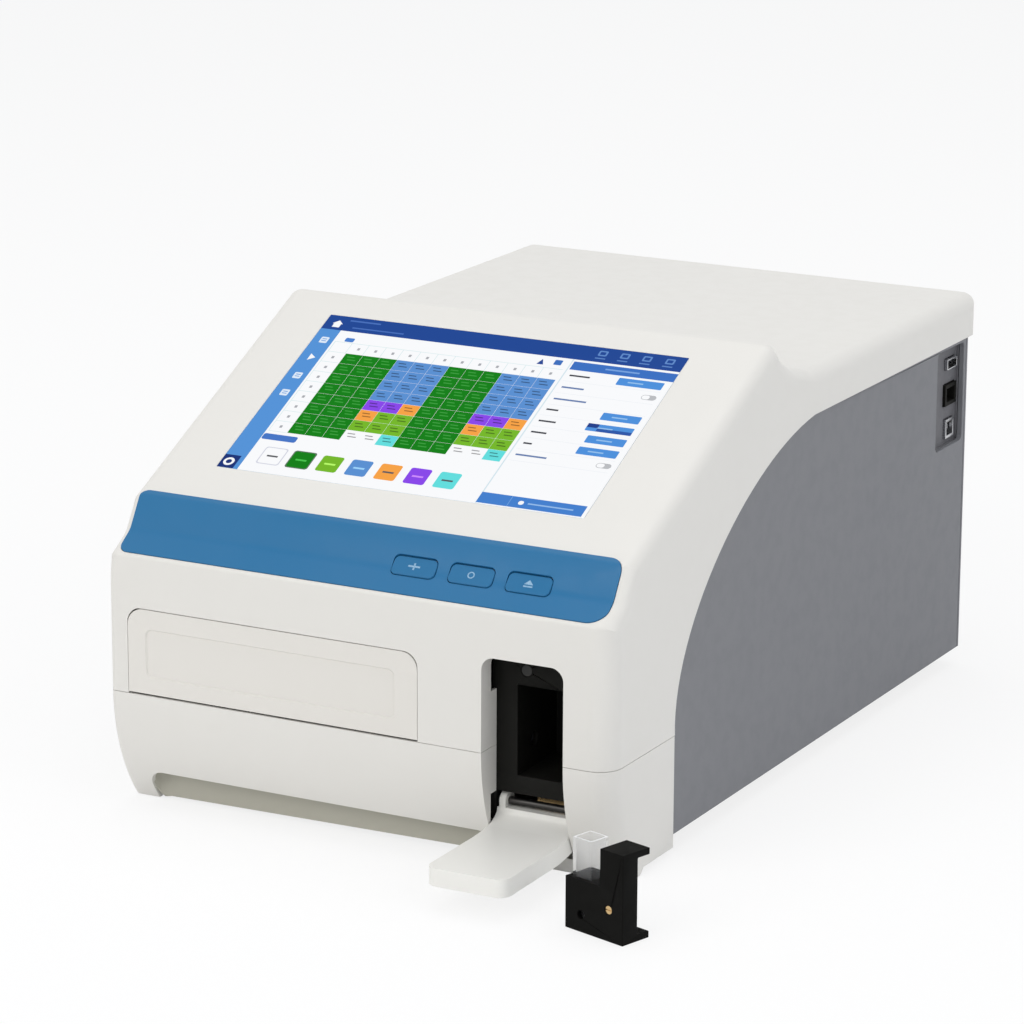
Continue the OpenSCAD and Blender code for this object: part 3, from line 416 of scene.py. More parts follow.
def prism(outline, axis, low, high):
    """Solid with an outline, from low to high along an axis: y takes (x, z), z takes (x, y)."""
    bm = bmesh.new()
    rings = []
    for level in (low, high):
        rings.append([bm.verts.new((u, level, v) if axis == "y" else (u, v, level)
                                   if axis == "z" else (level, u, v)) for u, v in outline])
    for ring in rings:
        bm.faces.new(ring)
    for i in range(len(outline)):
        j = (i + 1) % len(outline)
        bm.faces.new((rings[0][i], rings[0][j], rings[1][j], rings[1][i]))
    bmesh.ops.recalc_face_normals(bm, faces=bm.faces)
    return bm


def into_mesh(name, bm):
    """Mesh of a shape, which is used up."""
    mesh = bpy.data.meshes.new(name)
    bm.to_mesh(mesh)
    bm.free()
    return mesh


def shifted(bm, x, y, z):
    """The shape moved, in its own units."""
    bmesh.ops.translate(bm, verts=bm.verts, vec=(x, y, z))
    return bm


def sized(bm, factor):
    """The shape made larger or smaller."""
    bmesh.ops.scale(bm, verts=bm.verts, vec=(factor, factor, factor))
    return bm


def circle(x, y, radius, sides=16):
    """Points round a circle."""
    return [(x + radius * math.cos(math.tau * i / sides),
             y + radius * math.sin(math.tau * i / sides)) for i in range(sides)]


def round_box(x0, y0, x1, y1, radius=0, steps=6):
    """Rectangle outline with rounded corners."""
    return rounded([(x0, y0, radius), (x1, y0, radius), (x1, y1, radius), (x0, y1, radius)],
                   steps=steps)


def carve(body, shapes, operation="DIFFERENCE"):
    """Cuts shapes out of a body, or joins them to it; all are bmesh solids and used up."""
    made = []
    for bm in (body, *shapes):
        made.append(link(bpy.data.objects.new("blank", into_mesh("blank", bm))))
    for tool in made[1:]:
        step = made[0].modifiers.new("cut", "BOOLEAN")
        step.operation = operation
        step.solver = "EXACT"
        step.object = tool
    bpy.context.view_layer.update()
    result = bmesh.new()
    result.from_object(made[0], bpy.context.evaluated_depsgraph_get())
    for obj in made:
        mesh = obj.data
        bpy.data.objects.remove(obj)
        bpy.data.meshes.remove(mesh)
    bmesh.ops.dissolve_degenerate(result, edges=result.edges, dist=0.01)
    bmesh.ops.dissolve_limit(result, angle_limit=0.003, verts=result.verts, edges=result.edges)
    return result


def settle(name, bm, material, body="instrument", stands_for=(), edge=0.0, steps=2,
           angle=35, in_mm=True):
    """Finished object of a shape: its edges softened, riding on its body, standing for nodes."""
    if in_mm:
        sized(shifted(bm, 0, -FRONT_FACE, 0), MM)
    dented = [face for face in bm.faces if not all(loop.is_convex for loop in face.loops)]
    bmesh.ops.triangulate(bm, faces=dented)  # a dented face folds over when its edge is softened
    for face in bm.faces:
        face.smooth = True
    for seam in bm.edges:
        if len(seam.link_faces) == 2:
            seam.smooth = seam.calc_face_angle(0) < math.radians(angle)
    piece = link(bpy.data.objects.new(name, into_mesh(name, bm)))
    piece.data.materials.append(material)
    if edge:
        soft = piece.modifiers.new("softened", "BEVEL")
        soft.width = edge * MM
        soft.segments = steps
        soft.limit_method = "ANGLE"
        soft.angle_limit = math.radians(angle)
        soft.harden_normals = True
        soft.miter_outer = "MITER_ARC"
    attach(piece, body)
    if stands_for:
        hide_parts(*stands_for)
    return piece


def side_curve():
    """Front edge of the grey side panel, from the seam up to the lid, as (y, z)."""
    a, b, c, d = (Vector(p) for p in ((BEHIND_SHELL, 63.5), (67.5, 123.5), (157.5, 188.5),
                                      (240, LID_EDGE)))
    steps = [i / 28 for i in range(29)]
    line = [a * (1 - t) ** 3 + b * 3 * t * (1 - t) ** 2 + c * 3 * t * t * (1 - t) + d * t ** 3
            for t in steps]
    return [Vector((p.x, max(p.y, SEAM))) for p in line]


DOOR_X = (-135.9, 37.7)  # the plate flap
DOOR_TOP = 111.0
PORT_X = (74.6, 121.0)  # the cuvette port
PORT_TOP = 115.0
hood = wrapped_shell(body_points, body_normals,
                     [[side_radius(p, side) for p in body_points] for side in (0, 1)],
                     [(p.x, p.y) for p in side_curve()[::-1]])
collar = prism(round_box(PORT_X[0] - 3, 30, PORT_X[1] + 3, PORT_TOP + 3, 9), "y", 1.6, 10.5)
liner_step = prism(round_box(PORT_X[0] - 3, 39.5, PORT_X[1] + 3, 94, 2), "y", 9.5, 16.5)
above_seam = prism(round_box(-200, SEAM, 200, 300), "y", -50, 600)
lugs = [prism(round_box(x, 98, x + 4, 108), "y", 2.0, 8)
        for x in (DOOR_X[0] - 4.5, DOOR_X[1] + 0.5)]
collar = carve(carve(collar, [liner_step], "UNION"), [above_seam], "INTERSECT")
hood = carve(hood, [collar, *lugs], "UNION")


def arch(x0, bottom, x1, top, radius):
    """Opening with square lower and round upper corners."""
    return rounded([(x0, bottom, 0), (x1, bottom, 0), (x1, top, radius), (x0, top, radius)])


FLAP_GAP = (0.3, 0.45)  # beside the flap and above it
doorway = arch(DOOR_X[0] - FLAP_GAP[0], SEAM - 20, DOOR_X[1] + FLAP_GAP[0],
               DOOR_TOP + FLAP_GAP[1], 8.3)
port_hole = arch(PORT_X[0], -80, PORT_X[1], PORT_TOP, 7)


def on_slope(bm, x, y, z, tilt):
    """Lays a shape made flat (x, up the slope, out of it) on a sloping face."""
    turn = Matrix.Translation((x, y, z)) @ Matrix.Rotation(math.radians(tilt), 4, "X")
    bmesh.ops.transform(bm, matrix=turn, verts=bm.verts)
    return bm


CONSOLE = (0, 28, 168, math.degrees(math.atan2(246.9 - 168, 189.5 - 28)))
GLASS = (-111.3, 24.8, 105.9, 158.2)  # left, lower, right and upper edge on the console
glass_seat = on_slope(prism(round_box(GLASS[0] - 0.25, GLASS[1] - 0.25, GLASS[2] + 0.25,
                                      GLASS[3] + 0.25, 1.2), "z", -2.1, 12), *CONSOLE)
glass_way = on_slope(prism(round_box(GLASS[0] + 5, GLASS[1] + 5, GLASS[2] - 5, GLASS[3] - 5, 1),
                           "z", -12, 12), *CONSOLE)

strip_points, strip_normals = stations(body_line, 1.2)
in_strip = [i for i, p in enumerate(strip_points) if p.y > 140.4 and p.x < 27.5 and p.y < 168]
strip_points = strip_points[in_strip[0]:in_strip[-1] + 1]
strip_normals = strip_normals[in_strip[0]:in_strip[-1] + 1]


def strip_solid(low, high, wider):
    """The key strip's band over the front edge of the hood, from one height to another."""
    walk = [0.0]
    for p, q in zip(strip_points, strip_points[1:]):
        walk.append(walk[-1] + (q - p).length)
    length = walk[-1]

    def along(at):
        """Point and normal at a distance up the band."""
        at = min(max(at, 0.0), length)
        i = max(j for j, w in enumerate(walk) if w <= at + 1e-9)
        j = min(i + 1, len(walk) - 1)
        share = (at - walk[i]) / max(walk[j] - walk[i], 1e-9)
        p = strip_points[i].lerp(strip_points[j], share)
        n = strip_normals[i].lerp(strip_normals[j], share).normalized()
        return p, n

    steps = 36
    insets = (0, 1, 2, 3.5, 5, 7, 10, 14)
    left, right = -142.0 - wider, 141.5 + wider
    bottom, top = -wider, length + wider
    corner_radius = {(0, 0): 5, (1, 0): 5, (0, 1): 10, (1, 1): 8}
    rows = []
    for i in range(steps + 1):
        d = bottom + (top - bottom) * (1 - math.cos(math.pi * i / steps)) / 2
        ends = []
        for side in (0, 1):
            pull = 0.0
            for part, gap in ((0, d - bottom), (1, top - d)):
                r = corner_radius[(part, side)] + wider
                if gap < r:
                    pull = max(pull, r - math.sqrt(max(0.0, r * r - (r - gap) ** 2)))
            ends.append(left + pull if side == 0 else right - pull)
        xs = [ends[0] + e for e in insets] + [ends[1] - e for e in insets[::-1]]
        p, n = along(d)
        edge = [side_radius(p, side) for side in (0, 1)]
        over = d - min(max(d, 0.0), length)
        p = p + Vector((n.y, -n.x)) * over
        pair = []
        for lift in (low, high):
            row = []
            for x in xs:
                r = edge[x > 0]
                lap = max(0.0, abs(x) - (HALF - r))
                lap = min(lap, r * 0.999)
                turn = math.asin(lap / r)
                out = Vector((math.copysign(math.sin(turn), x) * lift, 0, 0))
                fall = r * (1 - math.cos(turn)) - lift * math.cos(turn)
                q = p - n * fall
                row.append((x + out.x, q.x, q.y))
            pair.append(row)
        rows.append(pair)
    bm = bmesh.new()
    grids = [[[bm.verts.new(v) for v in row[level]] for row in rows] for level in (0, 1)]
    for level in (0, 1):
        for a, b in zip(grids[level], grids[level][1:]):
            for k in range(len(a) - 1):
                bm.faces.new((a[k], a[k + 1], b[k + 1], b[k]))
    loops = [g[0] + [row[-1] for row in g[1:]] + g[-1][-2::-1] + [row[0] for row in g[-2:0:-1]]
             for g in grids]
    for i in range(len(loops[0])):
        j = (i + 1) % len(loops[0])
        bm.faces.new((loops[0][i], loops[0][j], loops[1][j], loops[1][i]))
    bmesh.ops.remove_doubles(bm, verts=bm.verts, dist=0.002)
    bmesh.ops.recalc_face_normals(bm, faces=bm.faces)
    return bm


KEY_SLOPE = (14.6, 151.4, 45)
KEY_X = (28.4, 61.2, 94.0)


def key_shape(x, low, high, grow):
    """Rounded block on the strip, the size of a key grown by a clearance."""
    return on_slope(prism(round_box(-12.5 - grow, -5.5 - grow, 12.5 + grow, 5.5 + grow,
                                    3 + grow), "z", low, high), x, *KEY_SLOPE)


pin_way = prism(circle(2.2, 103, 1.25), "x", DOOR_X[0] - 4.6, DOOR_X[1] + 4.6)
hood = carve(hood, [prism(doorway, "y", -5, 11), prism(port_hole, "y", -5, 19), glass_seat,
                    glass_way, strip_solid(-1.8, 6, 0.25), pin_way,
                    *[key_shape(x, -12, 6, 0.4) for x in KEY_X]])
settle("hood", hood, white_shell, stands_for=("upper_housing",), edge=0.45)


# ---- Front shell ----------------------------------------------------------------------------
# The lower front of the body, moulded in the same white ABS. Its face curls back under the
# instrument to two corner feet, with a long hollow between them so the tray clears the bench.
# Four hidden clips hold it against the hood, along a parting line a third of a millimetre wide.
shell_points = [Vector((105 * (1 - math.cos(a)), SEAM - 105 * math.sin(a)))
                for a in [math.radians(37.35 - 37.19 * i / 22) for i in range(23)]]
shell_points[0].y, shell_points[-1].y = 0.6, SEAM - PARTING
level = [Vector((-1, 0))] * len(shell_points)
side_line = [(BEHIND_SHELL - PARTING, SEAM - PARTING), (BEHIND_SHELL - PARTING, 4.0),
             (38.5, 4.0)]
shell = wrapped_shell(shell_points, level, [[r] * len(shell_points) for r in FRONT_RADIUS],
                      side_line)
behind_face = prism([(p.x + 1.6, p.y) for p in shell_points] + [(70, SEAM - PARTING), (70, 10)],
                    "x", -200, 200)
port_frame = carve(prism(round_box(PORT_X[0] - 3, 12, PORT_X[1] + 3, 90, 4), "y", 0, 10.5),
                   [prism(round_box(PORT_X[0] - 3, 39.5, PORT_X[1] + 3, 90, 2), "y", 9.5, 16.5)],
                   "UNION")
behind_lip = behind_face.copy()  # keeps the hollow's walls behind the curved face
port_frame = carve(port_frame, [behind_face], "INTERSECT")
lip = rounded([(-131.8, 13.4, 0), (-131.8, 22.6, 7), (72.1, 22.6, 5), (72.1, 13.4, 0)],
              closed=False, steps=6)
outside = rounded([(-133.2, 13.4, 0), (-133.2, 23.8, 8), (73.5, 23.8, 6), (73.5, 13.4, 0)],
                  closed=False, steps=6)
shelf_under = prism(outside, "z", 18.8, 20.2)
recess_wall = prism(outside + lip[::-1], "z", 2.2, 19.4)
for corner in recess_wall.verts:
    if corner.co.z < 10:
        near = min(1.0, max(0.0, (-112 - corner.co.x) / 21))
        corner.co.z = 4.2 - 3.4 * near * near * (3 - 2 * near)
shell = carve(shell, [port_frame], "UNION")
shell = carve(shell, [prism(rounded([(-131.8, -40, 0), (PORT_X[0] - 2.5, -40, 0),
                                     (PORT_X[0] - 2.5, 18.8, 5), (-131.8, 18.8, 9)]), "y", -5, 40),
                      prism(port_hole, "y", -5, 19),
                      prism(round_box(DOOR_X[0], SEAM - 3, DOOR_X[1], SEAM + 2), "y", 1.9, 12)])
settle("front_shell_moulding", shell, white_shell, stands_for=("front_shell",), edge=0.9, steps=3)
# The hollow's shelf and back wall are the same white plastic, given a greyer colour: painted shade
# for the shadow under the front.
underside_painted_shade = plastic("underside_painted_shade", (182, 180, 168), rough=0.6, tint=0.05, relief=0.03,
                          shine=0.2, slot="white_shell")
underside = carve(carve(shelf_under, [recess_wall], "UNION"), [behind_lip], "INTERSECT")
settle("front_shell_underside", underside, underside_painted_shade, edge=0.5)


# ---- Key strip and keys ---------------------------------------------------------------------
# A blue polycarbonate strip, hard-coated satin, bent to the S-shaped step under the console and
# glued into a pocket in the hood. The three keys are separate caps over push switches on a small
# board; each has a pale printed mark.
blue_strip, blue_key = (
    plastic(name, colour, rough=0.38, tint=0.015, relief=0.008, grain=5200.0, shine=0.22)
    for name, colour in (("blue_strip", (36, 108, 155)), ("blue_key", (36, 107, 153))))
strip = carve(strip_solid(-1.5, 0.5, 0), [key_shape(x, -12, 6, 0.35) for x in KEY_X])
settle("key_strip_band", strip, blue_strip, stands_for=("key_strip",), edge=0.9, steps=3,
       angle=50)

key_mark, tree, shade = bare("key_mark_ink", "blue_key", Roughness=0.5)
worn = spread(tree, speckle(tree, own_place(tree), 1800, 2), 0.3, 0.7)
wire(tree, (tinted(tree, srgb(150, 185, 210), srgb(120, 160, 192), worn),
            shade.inputs["Base Color"]))


def flat_ring(outer, inner, sides=20):
    """Flat ring as a list of four-cornered shapes, in the plane of a key."""
    near, far = (circle(0, 0, radius, sides) for radius in (inner, outer))
    return [[near[i - 1], far[i - 1], far[i], near[i]] for i in (*range(1, sides), 0)]


marks = {"left": [round_box(-3.4, -0.5, 3.4, 0.5), round_box(-0.5, -2, 0.5, -0.6),
                  round_box(-0.5, 0.6, 0.5, 2)],
         "middle": flat_ring(2.0, 1.35),
         "right": [round_box(-2.6, -2, 2.6, -1.2), [(-2.6, -0.5), (2.6, -0.5), (0, 2.2)]]}
for side, x in zip(("left", "middle", "right"), KEY_X):
    cap = prism(round_box(-12.5, -5.5, 12.5, 5.5, 3, steps=8), "z", -7.1, 0.95)
    settle(side + "_key_cap", on_slope(cap, x, *KEY_SLOPE), blue_key, side + "_key",
           ("key_" + side,), edge=0.75, steps=4)
    mark = bmesh.new()
    for face in marks[side]:
        mark.faces.new([mark.verts.new((u, v, 0.97)) for u, v in face])
    settle(side + "_key_mark", on_slope(mark, x, *KEY_SLOPE), key_mark, side + "_key")


# ---- Touch screen ---------------------------------------------------------------------------
# A projected-capacitive glass, 1.8 mm thick with ground edges, bonded over a ten-inch panel that
# a pressed steel bracket holds from behind. The picture is a plain plate map of 96 wells with a
# key of colours, a side menu and a column of settings, with no words in it.
SCREEN_W, SCREEN_H = 217.2, 133.4
TILE = 0.012  # step between one printed layer of the picture and the next
WELL_X, WELL_Y = 10.62, 8.68  # from one well of the plate map to the next
tiles = []  # (outline in millimetres from the glass's lower left corner, colour, layer)


def tile(x0, top, x1, bottom, colour, layer=1, radius=0.0):
    """Rectangle of the picture; top and bottom count down from the picture's top edge."""
    y0, y1 = SCREEN_H - bottom, SCREEN_H - top
    shape = round_box(x0, y0, x1, y1, radius, 4) if radius else \
        [(x0, y0), (x1, y0), (x1, y1), (x0, y1)]
    tiles.append((shape, colour, layer))


def drawn(points, colour, layer=4):
    """Any flat shape of the picture, its points counted from the top left corner."""
    tiles.append(([(x, SCREEN_H - y) for x, y in points], colour, layer))


WHITE, NAVY, SKY, DEEP = (252, 253, 255), (26, 70, 150), (84, 148, 218), (58, 112, 192)
GREEN, LIME, BLUE, ORANGE = (4, 128, 8), (118, 186, 36), (90, 145, 212), (250, 164, 68)
PURPLE, CYAN, GREY, PALE = (138, 70, 236), (98, 224, 224), (170, 172, 178), (206, 232, 234)
tile(0, 0, SCREEN_W, SCREEN_H, WHITE, 0)
tile(0, 0, SCREEN_W, 12.2, NAVY)
tile(0, 12.2, 12.6, SCREEN_H, SKY)
tile(0, 122.8, 9.8, SCREEN_H, (18, 48, 120), 2)
tile(154.6, 12.2, 155.4, SCREEN_H, (214, 232, 240), 2)
# grid of wells: head cells, then the twelve columns of eight
for i in range(13):
    tile(14 + i * WELL_X, 21.6, 14.3 + i * WELL_X, 30.4, PALE, 2)
for i in range(10):
    tile(14, 21.6 + i * 8.7, 25.2, 21.9 + i * 8.7, PALE, 2)
tile(25, 21.6, 152.9, 21.9, PALE, 2)
tile(13.9, 21.6, 14.2, 100, PALE, 2)
for column in range(12):
    tile(30 + column * WELL_X, 25, 31.6 + column * WELL_X, 27, GREY, 2)
    for row in range(8):
        kind = GREEN
        if column % 6 > 2:
            kind = BLUE if row < 4 else {
                4: (PURPLE, PURPLE, ORANGE), 5: (ORANGE, LIME, LIME), 6: (LIME,) * 3,
                7: (WHITE, WHITE, CYAN)}[row][column % 3]
        x, y = 25.4 + column * WELL_X, 30.6 + row * WELL_Y
        tile(x, y, x + 10.5, y + 8.56, kind, 2)
        ink = (60, 160, 62) if kind == GREEN else tuple(int(c * 0.62) for c in kind)
        tile(x + 2, y + 2.2, x + 6.6, y + 3.0, ink, 3)
        tile(x + 3, y + 4.6, x + 8.2, y + 5.4, ink, 3)
for row in range(8):
    tile(18.6, 34 + row * WELL_Y, 20.2, 36 + row * WELL_Y, GREY, 2)
# caption plate and the key of seven kinds of well
tile(13, 102.4, 33.8, 107.2, (68, 118, 200), 2, 1.2)
for i, kind in enumerate((WHITE, GREEN, LIME, BLUE, ORANGE, PURPLE, CYAN)):
    x = 20.6 + i * 17.5
    if kind in (WHITE, GREEN):
        tile(x - 0.7, 112.6, x + 13.1, 126.6, (214, 216, 228) if kind == WHITE else (96, 120, 100),
             2, 1.6)
    tile(x, 113.3, x + 12.4, 125.9, kind, 3, 1.4)
    tile(x + 3, 119.1, x + 9.6, 120.4, (90, 92, 96) if kind in (WHITE, CYAN, ORANGE) else
         tuple(min(255, c + 70) for c in kind), 4)
# menu marks down the left, header marks on the right
drawn([(7.8, 4), (11, 7), (10, 7), (10, 10), (5.6, 10), (5.6, 7), (4.6, 7)], WHITE)
for y in (21.7, 53.3, 68.3):
    tile(4.6, y - 2.6, 9.4, y + 2.6, (226, 238, 252), 3, 0.8)
    tile(5.6, y - 1.2, 8.4, y - 0.6, SKY, 4)
    tile(5.6, y + 0.4, 8.4, y + 1.0, SKY, 4)
drawn([(5.6, 34.2), (9.4, 37), (5.6, 39.8)], WHITE)
tiles += [([(4.8 + u, 5.2 + v) for u, v in q], WHITE, 4) for q in flat_ring(3.2, 1.7, 16)]
for x in (169, 182, 195, 208.4):
    tile(x - 2.6, 2.6, x + 2.6, 7, (96, 140, 205), 3, 0.8)
    tile(x - 1.6, 3.6, x + 1.6, 6, NAVY, 4, 0.4)
    tile(x - 3, 8.6, x + 3, 9.5, (92, 134, 200), 3)
tile(14, 2.6, 33, 3.8, (70, 112, 190), 3)
tile(18, 8.4, 50, 9.4, (70, 112, 190), 3)
tile(19, 17.6, 24.6, 21, (72, 128, 208), 3, 0.8)
drawn([(138, 15), (140, 19.6), (136, 19.6)], (34, 72, 150), 3)
tile(145.4, 14.4, 150, 18.6, DEEP, 3, 0.6)
# settings column on the right
tile(156.2, 13.9, SCREEN_W, 20.8, (56, 112, 196), 2)
tile(176, 16.6, 196, 17.8, (120, 164, 226), 3)
for y, label, left in ((25.4, 12, 186.8), (35.4, 13, 0), (45.3, 19, None), (54.4, 7, 190.8),
                       (64, 10, 186.6), (73.4, 9, 190.6), (82.9, 5, 190), (92.4, 18, 0)):
    tile(158.6, y - 0.6, 158.6 + label, y + 0.7, (66, 68, 76) if left else (104, 128, 176), 2)
    tile(157, y + 4.9, 214, y + 5.05, (226, 232, 240), 2)
    if left == 0:
        tile(205.2, y - 2, 213.8, y + 2, (188, 190, 194), 2, 1.9)
        tile(205.6, y - 1.6, 210, y + 1.6, WHITE, 3, 1.5)
    elif left:
        tile(left, y - 3, 213.2, y + 3, (76, 145, 222), 2, 0.6)
        tile(left + 6, y - 0.5, left + 15, y + 0.5, (150, 195, 240), 3)
tile(186.6, 61, 193, 64.2, (26, 60, 140), 3)
tile(193, 64.4, 213.2, 67, (40, 86, 170), 3)
tile(154.8, 124.2, 215.2, 132.6, (66, 128, 208), 3)
tile(172.4, 124.2, 172.7, 132.6, (130, 178, 232), 4)
tile(177.6, 127, 180.6, 130, WHITE, 4, 1.2)
tile(183, 128, 209, 129, (150, 190, 236), 4)

picture = bmesh.new()
ink_layer = picture.loops.layers.float_color.new("Ink")
for shape, colour, layer in tiles:
    face = picture.faces.new([picture.verts.new((GLASS[0] + x, GLASS[1] + y, layer * TILE))
                              for x, y in shape])
    for loop in face.loops:
        loop[ink_layer] = srgb(*colour)
on_slope(picture, *CONSOLE)

screen_glass, tree, shade = bare("screen_glass", Emission_Strength=0.93, IOR=1.45,
                                 Specular_IOR_Level=0.02)
ink = add(tree, "ShaderNodeVertexColor", layer_name="Ink").outputs["Color"]
smear = spread(tree, speckle(tree, own_place(tree), 42, 4, 0.6), 0.38, 0.7, 0.09, 0.22)
wire(tree, (tinted(tree, (0.004, 0.004, 0.005, 1), ink, 0.03), shade.inputs["Base Color"]),
     (ink, shade.inputs["Emission Color"]), (smear, shade.inputs["Roughness"]))
settle("screen_picture", picture, screen_glass)

glass_edge = plastic("screen_glass", (206, 222, 232), rough=0.12, tint=0.02, relief=0.002,
                     grain=900.0, Coat_Weight=0.6, Coat_Roughness=0.05)
pane = prism(round_box(*GLASS, 1.0), "z", -1.9, -0.12)
settle("touch_glass_pane", on_slope(pane, *CONSOLE), glass_edge, stands_for=("touch_glass",),
       edge=0.25)


# ---- Plate flap -----------------------------------------------------------------------------
# The flap over the plate doorway is a 3 mm moulding with a shallow framed field. It hangs on a
# steel pin through its barrel and the outgoing plate carrier pushes it up; its own weight shuts
# it. The dark gap below it lets it swing clear of the front shell.
def from_frame(node):
    """Welded copy of a CAD node, its flat faces whole again, in metres."""
    bm = bmesh.new()
    bm.from_mesh(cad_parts[node].data)
    bmesh.ops.remove_doubles(bm, verts=bm.verts, dist=2e-6)
    bmesh.ops.dissolve_limit(bm, angle_limit=0.002, verts=bm.verts, edges=bm.edges)
    return bm


def refined(node, material, edge, body="instrument", steps=2, angle=35):
    """A CAD node's own shape with softened edges and its real finish."""
    settle(node + "_finished", from_frame(node), material, body, (node,), edge, steps, angle,
           in_mm=False)


door_white = plastic("door_white", (222, 219, 213), rough=0.42, tint=0.03, relief=0.018,
                     shine=0.35)

# Machined surface: fine brushing along one direction, with a soft stain.
machined, ends_in, ends_out = surface_group(
    "machined_surface",
    [("Colour", "Color", (0.7, 0.7, 0.7, 1)), ("Roughness", "Float", 0.3),
     ("Lines", "Vector", (40.0, 3000.0, 3000.0)), ("Stain", "Float", 0.1)],
    [("Colour", "Color", None), ("Roughness", "Float", None), ("Height", "Float", None)])
place = own_place(machined)
stretch = add(machined, "ShaderNodeMapping")
wire(machined, (place, stretch.inputs["Vector"]),
     (ends_in.outputs["Lines"], stretch.inputs["Scale"]))
lines = speckle(machined, stretch.outputs[0], 1.0, 2.0, 0.6)
blotch = speckle(machined, place, 55.0, 4.0, 0.6)
stain = maths(machined, "MULTIPLY", spread(machined, blotch, 0.45, 0.75),
              ends_in.outputs["Stain"])
body_tone = tinted(machined, ends_in.outputs["Colour"], (0.12, 0.11, 0.1, 1), stain)
dull = maths(machined, "ADD", spread(machined, blotch, 0.35, 0.7, -0.05, 0.09),
             spread(machined, lines, 0.3, 0.7, -0.05, 0.05))
wire(machined, (body_tone, ends_out.inputs["Colour"]), (lines, ends_out.inputs["Height"]),
     (maths(machined, "ADD", ends_in.outputs["Roughness"], dull), ends_out.inputs["Roughness"]))


def metal(name, colour, rough, lines, relief, stain=0.1, slot=None, metallic=1.0):
    """Machined finish; lines are brush marks per metre along x, y and z."""
    return finish(name, machined, relief, {
        "Colour": srgb(*colour), "Roughness": rough, "Lines": lines, "Stain": stain}, slot,
        Metallic=metallic)


bright_steel = metal("bright_steel", (196, 197, 200), 0.24, lines=(60, 3200, 3200), relief=0.003)
FIELD = (-124.5, 74.7, 23.7, 100.0)  # the flap's sunk field: left, bottom, right and top
SLOPE = 0.9  # width of the slope round the field
flap = shifted(sized(from_frame("plate_door"), 1 / MM), 0, FRONT_FACE, 0)
field = prism(round_box(*FIELD, 3.5), "y", -0.2, 0.88)
for corner in field.verts:
    if corner.co.y < 0:  # the cutter widens towards the front, which leaves the slope
        for axis, low, high in ((0, FIELD[0], FIELD[2]), (2, FIELD[1], FIELD[3])):
            middle, half = (low + high) / 2, (high - low) / 2
            corner.co[axis] = middle + (corner.co[axis] - middle) * (half + SLOPE) / half
settle("plate_flap_moulding", carve(flap, [field]), door_white, "plate_flap", ("plate_door",),
       edge=0.55, steps=4, angle=12)
refined("plate_door_pin", bright_steel, 0.2)


# ---- Cuvette port ---------------------------------------------------------------------------
# A black glass-filled moulding closes the port behind the white reveal. It forms the chamber for
# the cuvette holder, with a light bore through both of its walls, a magnet that holds the door
# shut and a phosphor-bronze leaf that steadies it open. The anodised blocks beside the chamber
# carry the lamp fibre and the detector.
black_plastic = plastic("black_plastic", (19, 19, 17), rough=0.6, tint=0.01, relief=0.03,
                        grain=3600.0, shine=0.1)
anodised_aluminium = metal("anodised_aluminium", (40, 40, 43), 0.42, lines=(900, 900, 900),
                           relief=0.006, stain=0.05, metallic=0.75)
spring_metal = metal("spring_metal", (206, 176, 128), 0.28, lines=(2600, 60, 2600), relief=0.003,
                     stain=0.2)
dark_metal = plastic("dark_metal", (70, 71, 75), rough=0.38, tint=0.08, relief=0.01,
                     grain=2600.0, Metallic=0.6)
magnet_black = plastic("magnet_black", (40, 40, 39), rough=0.45, tint=0.02, relief=0.01,
                       shine=0.3, slot="dark_metal")
refined("cuvette_port_liner", black_plastic, 0.45, steps=3)
refined("door_magnet", magnet_black, 0.25)
refined("door_catch_spring", spring_metal, 0.12)
refined("cuvette_light_block", anodised_aluminium, 0.6)
refined("cuvette_detector", anodised_aluminium, 0.6)


# ---- Drop-down port door --------------------------------------------------------------------
# A thick, solid white moulding whose outer face carries on the curve of the front. It swings down
# on a steel pin through its two short arms and rests level.
# The flap's white plastic made paler here: painted light for the door's upturned top, lit in front
# of the body.
port_door_painted_light = plastic("port_door_painted_light", (234, 233, 228), rough=0.4, tint=0.02, relief=0.018,
                          shine=0.4, slot="door_white")
refined("cuvette_door", port_door_painted_light, 1.6, "port_door", steps=5, angle=50)
black_steel = metal("black_steel", (64, 63, 62), 0.34, lines=(60, 3200, 3200), relief=0.003,
                    slot="bright_steel", metallic=0.9)
refined("cuvette_door_pin", black_steel, 0.3)


# ---- Side and rear panels -------------------------------------------------------------------
# Flat grey covers in a fine leather-grained ABS, set a millimetre below the white edges. The
# right one is cut out for the interface bay, the rear one for the fan, the inlet and the switch.
grey_panel = plastic("grey_panel", (124, 125, 129), rough=0.62, tint=0.012, relief=0.012,
                     grain=2600.0, shine=0.3)
refined("left_side_panel", grey_panel, 0.5)
refined("right_side_panel", grey_panel, 0.5)
refined("rear_panel", grey_panel, 0.4)


